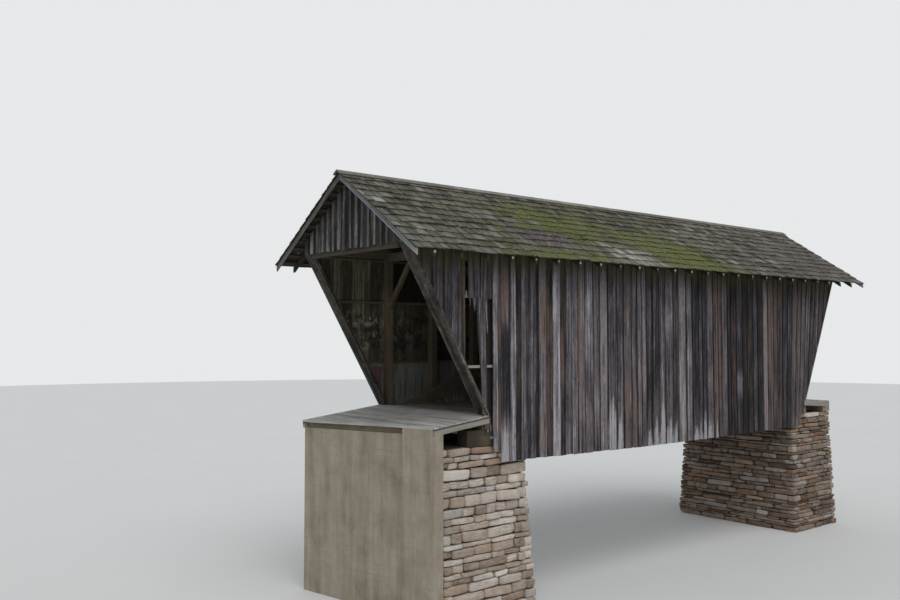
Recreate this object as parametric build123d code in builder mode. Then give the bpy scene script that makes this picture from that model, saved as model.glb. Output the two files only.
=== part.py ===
from build123d import *
from math import atan, cos, radians, sin, tan
import os

os.makedirs("parts", exist_ok=True)

# Covered timber bridge on stone abutments. Millimetres; X runs along the bridge from the near portal
# to the far one, +Z is up from the stream bed, and right and left are seen walking along +X.

# Levels above the stream bed
datum = 3700
floor_top = datum - 20
floor_plank_thickness = 80
floor_beam_height = 200
chord_height = 310
chord_top = floor_top - floor_plank_thickness - floor_beam_height
chord_bottom = chord_top - chord_height

# Wall and truss planes, measured out from the centre line
truss_inner_face = 1400
truss_thickness = 150
post_thickness = 150
rail_thickness = 50
siding_thickness = 25
cover_board_thickness = 22
post_inner_face = truss_inner_face + truss_thickness
post_outer_face = post_inner_face + post_thickness
siding_inner_face = post_outer_face + rail_thickness
siding_outer_face = siding_inner_face + siding_thickness
wall_outer_face = siding_outer_face + cover_board_thickness

# Wall posts
panel_length = 1230
panel_count = 9
post_width = 160
post_stations = [(i - panel_count / 2) * panel_length for i in range(panel_count + 1)]
end_post_face = panel_count * panel_length / 2 + post_width / 2

# Slanting wall ends that carry the shelter boards; lean is measured from the vertical, and each
# end stands clear of the end posts at datum level
near_lean = 30.3
near_end_clearance = 17
near_end_at_datum = -end_post_face - near_end_clearance
far_lean = 25.6
far_end_clearance = 280
far_end_at_datum = end_post_face + far_end_clearance
shelter_board_width = 300
shelter_board_thickness = 55
shelter_board_outer_face = wall_outer_face + 5

# Roof, carried by rafters that are notched over the wall plates
roof_pitch = 33.56
roof_overhang = 295
eave_half_width = 2480
rafter_notch = 45
course_count = 12
shingle_butt = 40
shingle_head = 12
lath_thickness = 25
lath_width = 100
lath_foot = 100
rafter_depth = 90
rafter_width = 50
rafter_spacing = 610
rafter_tail_setback = 50
ridge_board_thickness = 30
ridge_board_depth = 150
ridge_cap_width = 150
ridge_cap_thickness = 20
ridge_cap_overhang = 40
rake_board_width = 100
rake_board_thickness = 25
rake_setback = 30
top_plate_top = datum + 3350
top_plate_height = 200
top_plate_bottom = top_plate_top - top_plate_height

# Gables, standing clear of the slanting wall ends at the underside of the plates
near_gable_clearance = 107
far_gable_clearance = 176
gable_half_width = siding_inner_face
gable_board_thickness = 25
gable_strip_thickness = 20
gable_strip_width = 95
gable_strip_spacing = 205
header_bottom = top_plate_bottom - 100
header_height = 200
header_thickness = 95
gable_bottom = header_bottom + 60

# Siding
siding_top_clearance = 15
board_joint = 2
near_siding_edge = 90 - end_post_face
siding_bottom = datum - 970
first_board_bottom = datum - 680
first_board_width = 270
cover_board_width = 165
cover_board_spacing = 240
rail_height = 50
rail_levels = [datum - 460, datum + 890, datum + 2200, top_plate_bottom - 40]

# Missing boards beside the near portal
gap_left_edge = near_siding_edge - 665
gap_top = datum + 2170
remnant_head = (near_siding_edge - 435, near_siding_edge - 165)
gap_bottom = first_board_bottom
remnant_foot = (near_siding_edge - 285, near_siding_edge - 125)

# Ties and knee braces
tie_height = 180
tie_width = 120
tie_top = top_plate_top - 70
tie_bottom = tie_top - tie_height
tie_stations = [post_stations[i] for i in (0, 3, 6, 9)]
knee_foot = tie_bottom - 1050
knee_head_half_span = 740
knee_width = 90

# Queen-post truss standing inside the posts
queen_post_top = datum + 1450
queen_post_index = 3
brace_depth = 280
brace_foot_length = 180
brace_foot_face = end_post_face - 300
brace_heel = brace_foot_face - brace_foot_length
brace_head = datum + 932
straining_beam_depth = 250

# Floor
floor_half_width = truss_inner_face - 10
near_floor_end = 15 - end_post_face
floor_beam_width = 120
bearer_width = 100
near_chord_end = -end_post_face - 480

# Near approach ramp, with its bank end cut askew
near_ramp_start = -end_post_face - 10
near_ramp_slope = 0.12
near_ramp_length = 1633
near_bank_end = near_ramp_start - near_ramp_length
bank_skew = 10.3
approach_half_width = siding_outer_face + 5
approach_plank_thickness = 40
joist_depth = 120
joist_width = 50
joist_count = 5
backwall_recess = 60
backwall_back = 210
corner_block_width = 780

# Far approach, set lower than the floor and starting where the floor ends
far_ramp_start = end_post_face + 175
far_ramp_top = datum - 230
far_ramp_slope = 0.066
far_ramp_length = 1275
far_bank_end = far_ramp_start + far_ramp_length
sill_thickness = 200
sill_ledge = 150
far_bearer_start = far_ramp_start + 70
far_bearer_width = 150

# Stone abutments
abutment_top = chord_bottom
abutment_top_half_width = post_outer_face
abutment_batter = 170
near_stream_face = 1015 - end_post_face
far_stream_face = end_post_face - 350

roof_rise = tan(radians(roof_pitch))
slope_length = eave_half_width / cos(radians(roof_pitch))
course_exposure = slope_length / course_count
skew_rate = tan(radians(bank_skew))


def plumb(thickness):
    """Height that a thickness square to the roof takes up along a plumb line."""
    return thickness / cos(radians(roof_pitch))


# Underside of the shingles at the ridge
ridge_height = top_plate_top - rafter_notch + plumb(rafter_depth + lath_thickness) + post_outer_face * roof_rise


def rafter_top_at(y):
    """Height of the rafters' top edge at distance y from the centre line."""
    return ridge_height - plumb(lath_thickness) - y * roof_rise


def rafter_bottom_at(y):
    """Height of the rafters' lower edge at distance y from the centre line."""
    return rafter_top_at(y) - plumb(rafter_depth)


def near_end_at(z):
    """X of the near slanting wall end at height z."""
    return near_end_at_datum - (z - datum) * tan(radians(near_lean))


def far_end_at(z):
    """X of the far slanting wall end at height z."""
    return far_end_at_datum + (z - datum) * tan(radians(far_lean))


near_gable_face = near_end_at(top_plate_bottom) - near_gable_clearance
far_gable_face = far_end_at(top_plate_bottom) + far_gable_clearance
roof_start = near_gable_face - roof_overhang
roof_end = far_gable_face + roof_overhang
roof_length = roof_end - roof_start


def near_bank_at(y):
    """X of the near ramp's skewed bank end at Y."""
    return near_bank_end - y * skew_rate


def slope_plane(side, inset):
    """Plane across one roof slope at inset from the roof's end; local x runs down the slope."""
    start = roof_start + inset if side > 0 else roof_end - inset
    down_slope = (0, side * cos(radians(roof_pitch)), -sin(radians(roof_pitch)))
    return Plane(origin=(start, 0, ridge_height), x_dir=down_slope, z_dir=(side, 0, 0))


def wall_plane(side, face):
    """Upright plane along the wall that faces outwards; its local x is X turned to suit the side."""
    return Plane(origin=(0, side * face, 0), x_dir=(-side, 0, 0), z_dir=(0, side, 0))


def wall_points(side, points):
    """Points given as (X, Z), put into the wall plane's local frame."""
    return [(-side * x, z) for x, z in points]


def ramp_plane(start, level, slope, direction):
    """Plane of an approach deck's surface; local x runs down to the bank."""
    turn = atan(slope)
    down_ramp = (direction * cos(turn), 0, -sin(turn))
    up = (direction * sin(turn), 0, cos(turn))
    return Plane(origin=(start, 0, level), x_dir=down_ramp, z_dir=up)


def wall_outline():
    """Outline of a whole wall of boards as (X, Z) points, from the near top corner anticlockwise."""
    top = rafter_bottom_at(wall_outer_face) - siding_top_clearance
    bend = datum - (near_siding_edge - near_end_at_datum) / tan(radians(near_lean))
    step = near_siding_edge + first_board_width
    return [
        (near_end_at(top), top),
        (near_siding_edge, bend),
        (near_siding_edge, first_board_bottom),
        (step, first_board_bottom),
        (step, siding_bottom),
        (far_end_at(siding_bottom), siding_bottom),
        (far_end_at(top), top),
    ]


def save(part, name):
    """Labels a finished piece and writes it."""
    part.label = name
    export_step(part, f"parts/{name}.step")


sides = {"right": -1, "left": 1}

# Stone abutments: battered at the sides and towards the stream, upright towards the bank
foot_half_width = abutment_top_half_width + abutment_batter
stream_batters = {
    "near": Plane(origin=(near_stream_face, 0, abutment_top), z_dir=(abutment_top, 0, abutment_batter)),
    "far": Plane(origin=(far_stream_face, 0, abutment_top), z_dir=(-abutment_top, 0, abutment_batter)),
}
footings = {
    "near": [
        (near_bank_at(-foot_half_width) + backwall_back, -foot_half_width),
        (near_stream_face + abutment_batter, -foot_half_width),
        (near_stream_face + abutment_batter, foot_half_width),
        (near_bank_at(foot_half_width) + backwall_back, foot_half_width),
    ],
    "far": [
        (far_stream_face - abutment_batter, -foot_half_width),
        (far_bank_end + sill_thickness, -foot_half_width),
        (far_bank_end + sill_thickness, foot_half_width),
        (far_stream_face - abutment_batter, foot_half_width),
    ],
}
for end_name, footing in footings.items():
    with BuildPart() as abutment:
        with BuildSketch(Plane.XY):
            with BuildLine():
                Polyline(*footing, close=True)
            make_face()
        extrude(amount=abutment_top)
        split(bisect_by=stream_batters[end_name], keep=Keep.BOTTOM)
        for side in sides.values():
            slope = (0, side * abutment_top, abutment_batter)
            origin = (0, side * abutment_top_half_width, abutment_top)
            split(bisect_by=Plane(origin=origin, z_dir=slope), keep=Keep.BOTTOM)
    save(abutment.part, f"{end_name}_abutment")

# Concrete backwalls that end the two approaches; the near one rises to the planks at its corner
# block, beside the outer joist that passes over it
near_surface = ramp_plane(near_ramp_start, floor_top, near_ramp_slope, -1)
near_joist_top = near_surface.offset(-approach_plank_thickness)
near_joist_bottom = near_joist_top.offset(-joist_depth)
with BuildPart() as near_backwall:
    with BuildSketch(Plane.XY):
        with BuildLine():
            Polyline(
                (near_bank_at(-approach_half_width), -approach_half_width),
                (near_bank_at(-approach_half_width) + backwall_back, -approach_half_width),
                (near_bank_at(approach_half_width) + backwall_back, approach_half_width),
                (near_bank_at(approach_half_width) + backwall_recess, approach_half_width),
                (
                    near_bank_at(corner_block_width - approach_half_width) + backwall_recess,
                    corner_block_width - approach_half_width,
                ),
                (
                    near_bank_at(corner_block_width - approach_half_width),
                    corner_block_width - approach_half_width,
                ),
                close=True,
            )
        make_face()
    extrude(amount=floor_top)
    split(bisect_by=near_joist_bottom, keep=Keep.BOTTOM)
    block_edges = [joist_width - approach_half_width, corner_block_width - approach_half_width]
    with BuildSketch(Plane.XY.offset(abutment_top)):
        with BuildLine():
            Polyline(
                (near_bank_at(block_edges[0]), block_edges[0]),
                (near_bank_at(block_edges[0]) + backwall_back, block_edges[0]),
                (near_bank_at(block_edges[1]) + backwall_back, block_edges[1]),
                (near_bank_at(block_edges[1]), block_edges[1]),
                close=True,
            )
        make_face()
    extrude(amount=floor_top - abutment_top)
    split(bisect_by=near_joist_top, keep=Keep.BOTTOM)
save(near_backwall.part, "near_backwall")

far_surface = ramp_plane(far_ramp_start, far_ramp_top, far_ramp_slope, 1)
far_joist_top = far_surface.offset(-approach_plank_thickness)
far_joist_bottom = far_joist_top.offset(-joist_depth)
with BuildPart() as far_backwall:
    with BuildSketch(Plane.XY.offset(abutment_top)):
        with Locations((far_bank_end - sill_ledge, 0)):
            Rectangle(
                sill_ledge + sill_thickness,
                2 * abutment_top_half_width,
                align=(Align.MIN, Align.CENTER),
            )
    extrude(amount=far_ramp_top - abutment_top)
    split(bisect_by=far_surface, keep=Keep.BOTTOM)
    with BuildSketch(far_joist_bottom):
        Rectangle(
            far_ramp_length / cos(atan(far_ramp_slope)),
            2 * approach_half_width,
            align=(Align.MIN, Align.CENTER),
        )
    extrude(amount=far_ramp_top - abutment_top, mode=Mode.SUBTRACT)
save(far_backwall.part, "far_backwall")

# Approach decks: cross planks over joists that run down to the bank
ramp_turn = cos(atan(near_ramp_slope))


def near_deck_points(shorten=0):
    """Corners of the near deck in its ramp plane, with the skewed bank end drawn back by shorten."""
    right_run = (near_ramp_start - near_bank_at(-approach_half_width)) / ramp_turn - shorten
    left_run = (near_ramp_start - near_bank_at(approach_half_width)) / ramp_turn - shorten
    return [
        (0, approach_half_width),
        (right_run, approach_half_width),
        (left_run, -approach_half_width),
        (0, -approach_half_width),
    ]


with BuildPart() as near_approach_planks:
    with BuildSketch(near_surface):
        with BuildLine():
            Polyline(*near_deck_points(), close=True)
        make_face()
    extrude(amount=-approach_plank_thickness)
save(near_approach_planks.part, "near_approach_planks")

outer_joist_spread = 2 * approach_half_width - joist_width
joist_pitch = outer_joist_spread / (joist_count - 1)
rim_face = backwall_recess + joist_width
with BuildPart() as near_approach_joists:
    for spread, count, shorten in [
        (joist_pitch, joist_count - 2, rim_face),
        (outer_joist_spread, 2, 0),
    ]:
        with BuildSketch(near_joist_top):
            with GridLocations(0, spread, 1, count):
                Rectangle(roof_length, joist_width)
            with BuildLine():
                Polyline(*near_deck_points(shorten), close=True)
            make_face(mode=Mode.INTERSECT)
        extrude(amount=-joist_depth)
save(near_approach_joists.part, "near_approach_joists")

# Header flush with the recessed wall, from the left outer joist to the corner block
rim_left = approach_half_width - joist_width
rim_right = approach_half_width - corner_block_width
with BuildPart() as near_rim_joist:
    with BuildSketch(near_joist_top):
        with BuildLine():
            Polyline(*near_deck_points(backwall_recess), close=True)
        make_face()
        with BuildLine():
            Polyline(*near_deck_points(rim_face), close=True)
        make_face(mode=Mode.SUBTRACT)
        with Locations((0, rim_right)):
            Rectangle(2 * roof_length, rim_left + rim_right, align=(Align.CENTER, Align.MAX), mode=Mode.INTERSECT)
    extrude(amount=-joist_depth)
save(near_rim_joist.part, "near_rim_joist")

far_run = far_ramp_length / cos(atan(far_ramp_slope))
with BuildPart() as far_approach_planks:
    with BuildSketch(far_surface):
        Rectangle(far_run, 2 * approach_half_width, align=(Align.MIN, Align.CENTER))
    extrude(amount=-approach_plank_thickness)
save(far_approach_planks.part, "far_approach_planks")

with BuildPart() as far_approach_joists:
    with BuildSketch(far_joist_top):
        with GridLocations(0, joist_pitch, 1, joist_count):
            Rectangle(far_run, joist_width, align=(Align.MIN, Align.CENTER))
    extrude(amount=-joist_depth)
save(far_approach_joists.part, "far_approach_joists")

# Bottom chords
for side_name, side in sides.items():
    with BuildPart() as bottom_chord:
        with BuildSketch(Plane.XY.offset(chord_bottom)):
            with Locations((near_chord_end, side * (truss_inner_face + post_outer_face) / 2)):
                Rectangle(
                    end_post_face - near_chord_end,
                    post_outer_face - truss_inner_face,
                    align=(Align.MIN, Align.CENTER),
                )
        extrude(amount=chord_height)
    save(bottom_chord.part, f"bottom_chord_{side_name}")

# Floor beams beside the posts, with a bearer under each approach deck
beam_offset = (post_width + floor_beam_width) / 2
beam_stations = [
    x - beam_offset if x < 0 else x + beam_offset for x in post_stations[1:-1]
]
beam_stations += [post_stations[0] + beam_offset, post_stations[-1] - beam_offset]
with BuildPart() as floor_beams:
    with BuildSketch(Plane.XY.offset(chord_top)):
        with Locations(*[(x, 0) for x in beam_stations]):
            Rectangle(floor_beam_width, 2 * post_outer_face)
    extrude(amount=floor_beam_height)
save(floor_beams.part, "floor_beams")

with BuildPart() as near_bearer:
    with BuildSketch(Plane.XY.offset(chord_top)):
        with Locations((near_ramp_start - bearer_width / 2, 0)):
            Rectangle(bearer_width, 2 * post_outer_face)
    extrude(amount=floor_beam_height)
    split(bisect_by=near_joist_bottom, keep=Keep.BOTTOM)
save(near_bearer.part, "near_bearer")

with BuildPart() as far_bearer:
    with BuildSketch(Plane.XY.offset(abutment_top)):
        with Locations((far_bearer_start, 0)):
            Rectangle(far_bearer_width, 2 * abutment_top_half_width, align=(Align.MIN, Align.CENTER))
    extrude(amount=chord_height)
    split(bisect_by=far_joist_bottom, keep=Keep.BOTTOM)
save(far_bearer.part, "far_bearer")

with BuildPart() as floor_planks:
    with BuildSketch(Plane.XY.offset(floor_top - floor_plank_thickness)):
        with Locations((near_floor_end, 0)):
            Rectangle(far_ramp_start - near_floor_end, 2 * floor_half_width, align=(Align.MIN, Align.CENTER))
    extrude(amount=floor_plank_thickness)
save(floor_planks.part, "floor_planks")

# Queen-post trusses: braces seated on the chord rise to the posts, with a straining beam between
queen_station = -post_stations[queen_post_index]
queen_outer = queen_station + post_width / 2
queen_inner = queen_station - post_width / 2
truss_middle = truss_inner_face + truss_thickness / 2
brace_rise = (brace_head - chord_top) / (brace_heel - queen_outer)
brace_upright = brace_depth / cos(atan(brace_rise))
for side_name, side in sides.items():
    with BuildPart() as truss_braces:
        with BuildSketch(Plane.XZ.offset(-side * truss_middle)):
            with BuildLine():
                Polyline(
                    (brace_heel, chord_top),
                    (queen_outer, brace_head),
                    (queen_outer, brace_head + brace_upright),
                    (
                        brace_foot_face,
                        brace_head + brace_upright - (brace_foot_face - queen_outer) * brace_rise,
                    ),
                    (brace_foot_face, chord_top),
                    close=True,
                )
            make_face()
            mirror(about=Plane.YZ)
        extrude(amount=truss_thickness / 2, both=True)
    save(truss_braces.part, f"truss_braces_{side_name}")

with BuildPart() as queen_posts:
    with BuildSketch(Plane.XY.offset(chord_top)):
        with GridLocations(2 * queen_station, 2 * truss_middle, 2, 2):
            Rectangle(post_width, truss_thickness)
    extrude(amount=queen_post_top - chord_top)
save(queen_posts.part, "queen_posts")

with BuildPart() as straining_beams:
    with BuildSketch(Plane.XY.offset(brace_head)):
        with GridLocations(0, 2 * truss_middle, 1, 2):
            Rectangle(2 * queen_inner, truss_thickness)
    extrude(amount=straining_beam_depth)
save(straining_beams.part, "straining_beams")

# Wall frames: posts from chord to plate, with rails outside them to carry the boards
for side_name, side in sides.items():
    with BuildPart() as wall_posts:
        with BuildSketch(Plane.XY.offset(chord_top)):
            with Locations((0, side * (post_inner_face + post_outer_face) / 2)):
                with GridLocations(panel_length, 0, panel_count + 1, 1):
                    Rectangle(post_width, post_thickness)
        extrude(amount=top_plate_bottom - chord_top)
    save(wall_posts.part, f"wall_posts_{side_name}")

    with BuildPart() as wall_rails:
        with BuildSketch(wall_plane(side, post_outer_face)):
            with Locations(*[(0, z) for z in rail_levels]):
                Rectangle(2 * roof_length, rail_height)
            with BuildLine():
                Polyline(*wall_points(side, wall_outline()), close=True)
            make_face(mode=Mode.INTERSECT)
        extrude(amount=rail_thickness)
    save(wall_rails.part, f"wall_rails_{side_name}")

    with BuildPart() as top_plate:
        with BuildSketch(Plane.XY.offset(top_plate_bottom)):
            plate_start = near_gable_face + gable_board_thickness
            plate_end = far_gable_face - gable_board_thickness
            with Locations((plate_start, side * (post_inner_face + post_outer_face) / 2)):
                Rectangle(plate_end - plate_start, post_thickness, align=(Align.MIN, Align.CENTER))
        extrude(amount=top_plate_height)
    save(top_plate.part, f"top_plate_{side_name}")

# Tie beams between the plates and knee braces under them
with BuildPart() as tie_beams:
    with BuildSketch(Plane.XY.offset(tie_bottom)):
        with Locations(*[(x, 0) for x in tie_stations]):
            Rectangle(tie_width, 2 * post_inner_face)
    extrude(amount=tie_height)
save(tie_beams.part, "tie_beams")

knee_run = post_inner_face - knee_head_half_span
knee_climb = tie_bottom - knee_foot
knee_length = (knee_run**2 + knee_climb**2) ** 0.5
knee_upright = knee_width * knee_length / knee_run
knee_level = knee_width * knee_length / knee_climb
with BuildPart() as knee_braces:
    for x in tie_stations:
        with BuildSketch(Plane.YZ.offset(x)):
            with BuildLine():
                Polyline(
                    (post_inner_face, knee_foot),
                    (post_inner_face, knee_foot + knee_upright),
                    (knee_head_half_span + knee_level, tie_bottom),
                    (knee_head_half_span, tie_bottom),
                    close=True,
                )
            make_face()
            mirror(about=Plane.YZ)
        extrude(amount=knee_width / 2, both=True)
save(knee_braces.part, "knee_braces")


# Rafters notched over the plates, meeting at a ridge board
def rafter_points(tail):
    """Half a rafter pair as (Y, Z) points, from the ridge down to a plumb cut at tail."""
    seat = (ridge_height - plumb(lath_thickness) - plumb(rafter_depth) - top_plate_top) / roof_rise
    head = ridge_board_thickness / 2
    return [
        (head, rafter_top_at(head)),
        (tail, rafter_top_at(tail)),
        (tail, rafter_bottom_at(tail)),
        (post_outer_face, rafter_bottom_at(post_outer_face)),
        (post_outer_face, top_plate_top),
        (seat, top_plate_top),
        (head, rafter_bottom_at(head)),
    ]


rake_inset = rake_setback + rake_board_thickness
gable_depth = gable_board_thickness + header_thickness
first_rafter = near_gable_face + gable_depth + rafter_width / 2
last_rafter = far_gable_face - gable_depth - rafter_width / 2
rafter_count = int((last_rafter - first_rafter) / rafter_spacing) + 1
rafter_stations = [first_rafter + i * rafter_spacing for i in range(rafter_count)]
rafter_tail = eave_half_width - rafter_tail_setback
for side_name, side in sides.items():
    with BuildPart() as rafters:
        for x in rafter_stations:
            with BuildSketch(Plane.YZ.offset(x)):
                with BuildLine():
                    Polyline(*[(side * y, z) for y, z in rafter_points(rafter_tail)], close=True)
                make_face()
            extrude(amount=rafter_width / 2, both=True)
    save(rafters.part, f"rafters_{side_name}")

    with BuildPart() as roof_laths:
        with BuildSketch(slope_plane(side, rake_inset)):
            for i in range(course_count):
                with Locations(((i + 1) * course_exposure - lath_foot, 0)):
                    Rectangle(lath_width, lath_thickness, align=(Align.MAX, Align.MAX))
        extrude(amount=roof_length - 2 * rake_inset)
    save(roof_laths.part, f"roof_laths_{side_name}")

    with BuildPart() as roof_shingles:
        with BuildSketch(slope_plane(side, 0)):
            with BuildLine():
                course_line = []
                for i in range(course_count):
                    course_line.append((i * course_exposure, shingle_head))
                    course_line.append(((i + 1) * course_exposure, shingle_butt))
                Polyline((0, 0), *course_line, (slope_length, 0), close=True)
            make_face()
        extrude(amount=roof_length)
    save(roof_shingles.part, f"roof_shingles_{side_name}")

with BuildPart() as ridge_board:
    with BuildSketch(Plane.YZ.offset(roof_start + rake_inset)):
        with Locations((0, rafter_top_at(ridge_board_thickness / 2))):
            Rectangle(ridge_board_thickness, ridge_board_depth, align=(Align.CENTER, Align.MAX))
    extrude(amount=roof_length - 2 * rake_inset)
save(ridge_board.part, "ridge_board")

# Ridge cap: two boards that meet over the ridge, bear on the top courses and run past the roof's ends
cap_seat = shingle_head + (shingle_butt - shingle_head) * ridge_cap_width / course_exposure
cap_foot = ridge_cap_width * cos(radians(roof_pitch)) + cap_seat * sin(radians(roof_pitch))
cap_foot_height = (
    ridge_height - ridge_cap_width * sin(radians(roof_pitch)) + cap_seat * cos(radians(roof_pitch))
)
with BuildPart() as ridge_cap:
    with BuildSketch(Plane.YZ.offset(roof_start - ridge_cap_overhang)):
        with BuildLine():
            Polyline(
                (0, cap_foot_height + cap_foot * roof_rise),
                (cap_foot, cap_foot_height),
                (
                    cap_foot + ridge_cap_thickness * sin(radians(roof_pitch)),
                    cap_foot_height + ridge_cap_thickness * cos(radians(roof_pitch)),
                ),
                (0, cap_foot_height + cap_foot * roof_rise + plumb(ridge_cap_thickness)),
                close=True,
            )
        make_face()
        mirror(about=Plane.YZ)
    extrude(amount=roof_length + 2 * ridge_cap_overhang)
save(ridge_cap.part, "ridge_cap")

# Rake boards over the lath ends
rake_gap = 1
rake_tail = eave_half_width - rake_setback
for end_name, start in {"near": roof_start + rake_setback, "far": roof_end - rake_inset}.items():
    with BuildPart() as rake_boards:
        with BuildSketch(Plane.YZ.offset(start)):
            with BuildLine():
                Polyline(
                    (rake_gap, ridge_height - rake_gap * roof_rise),
                    (rake_tail, ridge_height - rake_tail * roof_rise),
                    (rake_tail, ridge_height - rake_tail * roof_rise - plumb(rake_board_width)),
                    (rake_gap, ridge_height - rake_gap * roof_rise - plumb(rake_board_width)),
                    close=True,
                )
            make_face()
            mirror(about=Plane.YZ)
        extrude(amount=rake_board_thickness)
    save(rake_boards.part, f"{end_name}_rake_boards")

# Gables: a nailing frame behind boards whose joints are covered by strips
shelter_board_inner_face = shelter_board_outer_face - shelter_board_width
king_stud_height = rafter_top_at(ridge_board_thickness / 2) - ridge_board_depth - header_bottom
gable_stud_station = shelter_board_inner_face / 2
side_stud_height = rafter_bottom_at(gable_stud_station - header_thickness) - header_bottom
gable_strip_count = int(2 * gable_half_width / gable_strip_spacing)
gable_outline = [
    (-gable_half_width, gable_bottom),
    (gable_half_width, gable_bottom),
    (gable_half_width, rafter_top_at(gable_half_width)),
    (0, rafter_top_at(0)),
    (-gable_half_width, rafter_top_at(gable_half_width)),
]
for end_name, face in {"near": near_gable_face, "far": far_gable_face}.items():
    inward = 1 if face < 0 else -1
    with BuildPart() as gable_frame:
        with BuildSketch(Plane.YZ.offset(face + inward * (gable_board_thickness + header_thickness / 2))):
            with BuildLine():
                Polyline(*rafter_points(gable_half_width), close=True)
            make_face()
            mirror(about=Plane.YZ)
            with Locations((0, header_bottom)):
                Rectangle(2 * shelter_board_inner_face, header_height, align=(Align.CENTER, Align.MIN))
            with Locations((0, header_bottom)):
                Rectangle(header_thickness, king_stud_height, align=(Align.CENTER, Align.MIN))
            with Locations((-gable_stud_station, header_bottom), (gable_stud_station, header_bottom)):
                Rectangle(header_thickness, side_stud_height, align=(Align.CENTER, Align.MIN))
        extrude(amount=header_thickness / 2, both=True)
    save(gable_frame.part, f"{end_name}_gable_frame")

    with BuildPart() as gable_boards:
        with BuildSketch(Plane.YZ.offset(face)):
            with BuildLine():
                Polyline(*gable_outline, close=True)
            make_face()
        extrude(amount=inward * gable_board_thickness)
        with BuildSketch(Plane.YZ.offset(face)):
            with GridLocations(gable_strip_spacing, 0, gable_strip_count, 1):
                Rectangle(gable_strip_width, 2 * ridge_height)
            with BuildLine():
                Polyline(*gable_outline, close=True)
            make_face(mode=Mode.INTERSECT)
        extrude(amount=-inward * gable_strip_thickness)
        with BuildSketch(Plane.YZ.offset(face)):
            with Locations((0, ridge_height)):
                Rectangle(ridge_board_thickness, 2 * (ridge_height - header_bottom - king_stud_height))
        extrude(amount=2 * gable_board_thickness, both=True, mode=Mode.SUBTRACT)
    save(gable_boards.part, f"{end_name}_gable_boards")

# Wall siding with cover boards. On the right some boards are gone beside the near portal, and the
# remnant of one hangs between the gaps on either side of it
near_gaps = [
    [
        (gap_left_edge, gap_top),
        (remnant_head[0], gap_top),
        (remnant_foot[0], gap_bottom),
        (gap_left_edge, gap_bottom),
    ],
    [
        (remnant_head[1], gap_top),
        (near_siding_edge, gap_top),
        (near_siding_edge, gap_bottom),
        (remnant_foot[1], gap_bottom),
    ],
]
whole_gap = [
    (gap_left_edge, gap_top),
    (near_siding_edge, gap_top),
    (near_siding_edge, gap_bottom),
    (gap_left_edge, gap_bottom),
]
board_joints = [(gap_left_edge, 0), (near_siding_edge, 0), (near_siding_edge + first_board_width, 0)]
remnant_joints = [(x, gap_top) for x in remnant_head]
cover_count = int(roof_length / cover_board_spacing)
for side_name, side in sides.items():
    with BuildPart() as siding:
        with BuildSketch(wall_plane(side, siding_inner_face)):
            with BuildLine():
                Polyline(*wall_points(side, wall_outline()), close=True)
            make_face()
            with Locations(*wall_points(side, board_joints)):
                Rectangle(board_joint, 2 * ridge_height, mode=Mode.SUBTRACT)
            if side_name == "right":
                for gap in near_gaps:
                    with BuildLine():
                        Polyline(*wall_points(side, gap), close=True)
                    make_face(mode=Mode.SUBTRACT)
                with Locations(*wall_points(side, remnant_joints)):
                    Rectangle(
                        board_joint,
                        ridge_height,
                        align=(Align.CENTER, Align.MIN),
                        mode=Mode.SUBTRACT,
                    )
        extrude(amount=siding_thickness)
    save(siding.part, f"siding_{side_name}")

    with BuildPart() as cover_boards:
        with BuildSketch(wall_plane(side, siding_outer_face)):
            with GridLocations(cover_board_spacing, 0, cover_count, 1):
                Rectangle(cover_board_width, 2 * ridge_height)
            with BuildLine():
                Polyline(*wall_points(side, wall_outline()), close=True)
            make_face(mode=Mode.INTERSECT)
            if side_name == "right":
                with BuildLine():
                    Polyline(*wall_points(side, whole_gap), close=True)
                make_face(mode=Mode.SUBTRACT)
        extrude(amount=cover_board_thickness)
    save(cover_boards.part, f"cover_boards_{side_name}")

# Shelter boards on the slanting wall ends, from the deck up to the plates
shelter_middle = shelter_board_outer_face - shelter_board_width / 2
near_board_run = shelter_board_thickness / cos(radians(near_lean))
far_board_run = shelter_board_thickness / cos(radians(far_lean))
shelter_foot = datum - 2 * chord_height
with BuildPart() as near_shelter_boards:
    for side in sides.values():
        with BuildSketch(Plane.XZ.offset(-side * shelter_middle)):
            with BuildLine():
                Polyline(
                    (near_end_at(shelter_foot), shelter_foot),
                    (near_end_at(top_plate_bottom), top_plate_bottom),
                    (near_end_at(top_plate_bottom) - near_board_run, top_plate_bottom),
                    (near_end_at(shelter_foot) - near_board_run, shelter_foot),
                    close=True,
                )
            make_face()
        extrude(amount=shelter_board_width / 2, both=True)
    split(bisect_by=near_surface, keep=Keep.TOP)
save(near_shelter_boards.part, "near_shelter_boards")

with BuildPart() as far_shelter_boards:
    for side in sides.values():
        with BuildSketch(Plane.XZ.offset(-side * shelter_middle)):
            with BuildLine():
                Polyline(
                    (far_end_at(shelter_foot), shelter_foot),
                    (far_end_at(top_plate_bottom), top_plate_bottom),
                    (far_end_at(top_plate_bottom) + far_board_run, top_plate_bottom),
                    (far_end_at(shelter_foot) + far_board_run, shelter_foot),
                    close=True,
                )
            make_face()
        extrude(amount=shelter_board_width / 2, both=True)
    split(bisect_by=far_surface, keep=Keep.TOP)
save(far_shelter_boards.part, "far_shelter_boards")
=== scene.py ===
"""Looks of a weathered covered timber bridge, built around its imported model.

Boards, shingles and stones are made one by one from whole numpy arrays, each with its own tone and
its own grain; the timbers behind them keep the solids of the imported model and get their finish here.
X runs along the bridge from the near portal, +Y is to the left, Z is up from the stream bed; all
lengths are in metres.
"""

from math import atan, cos, radians, sin, tan

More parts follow.
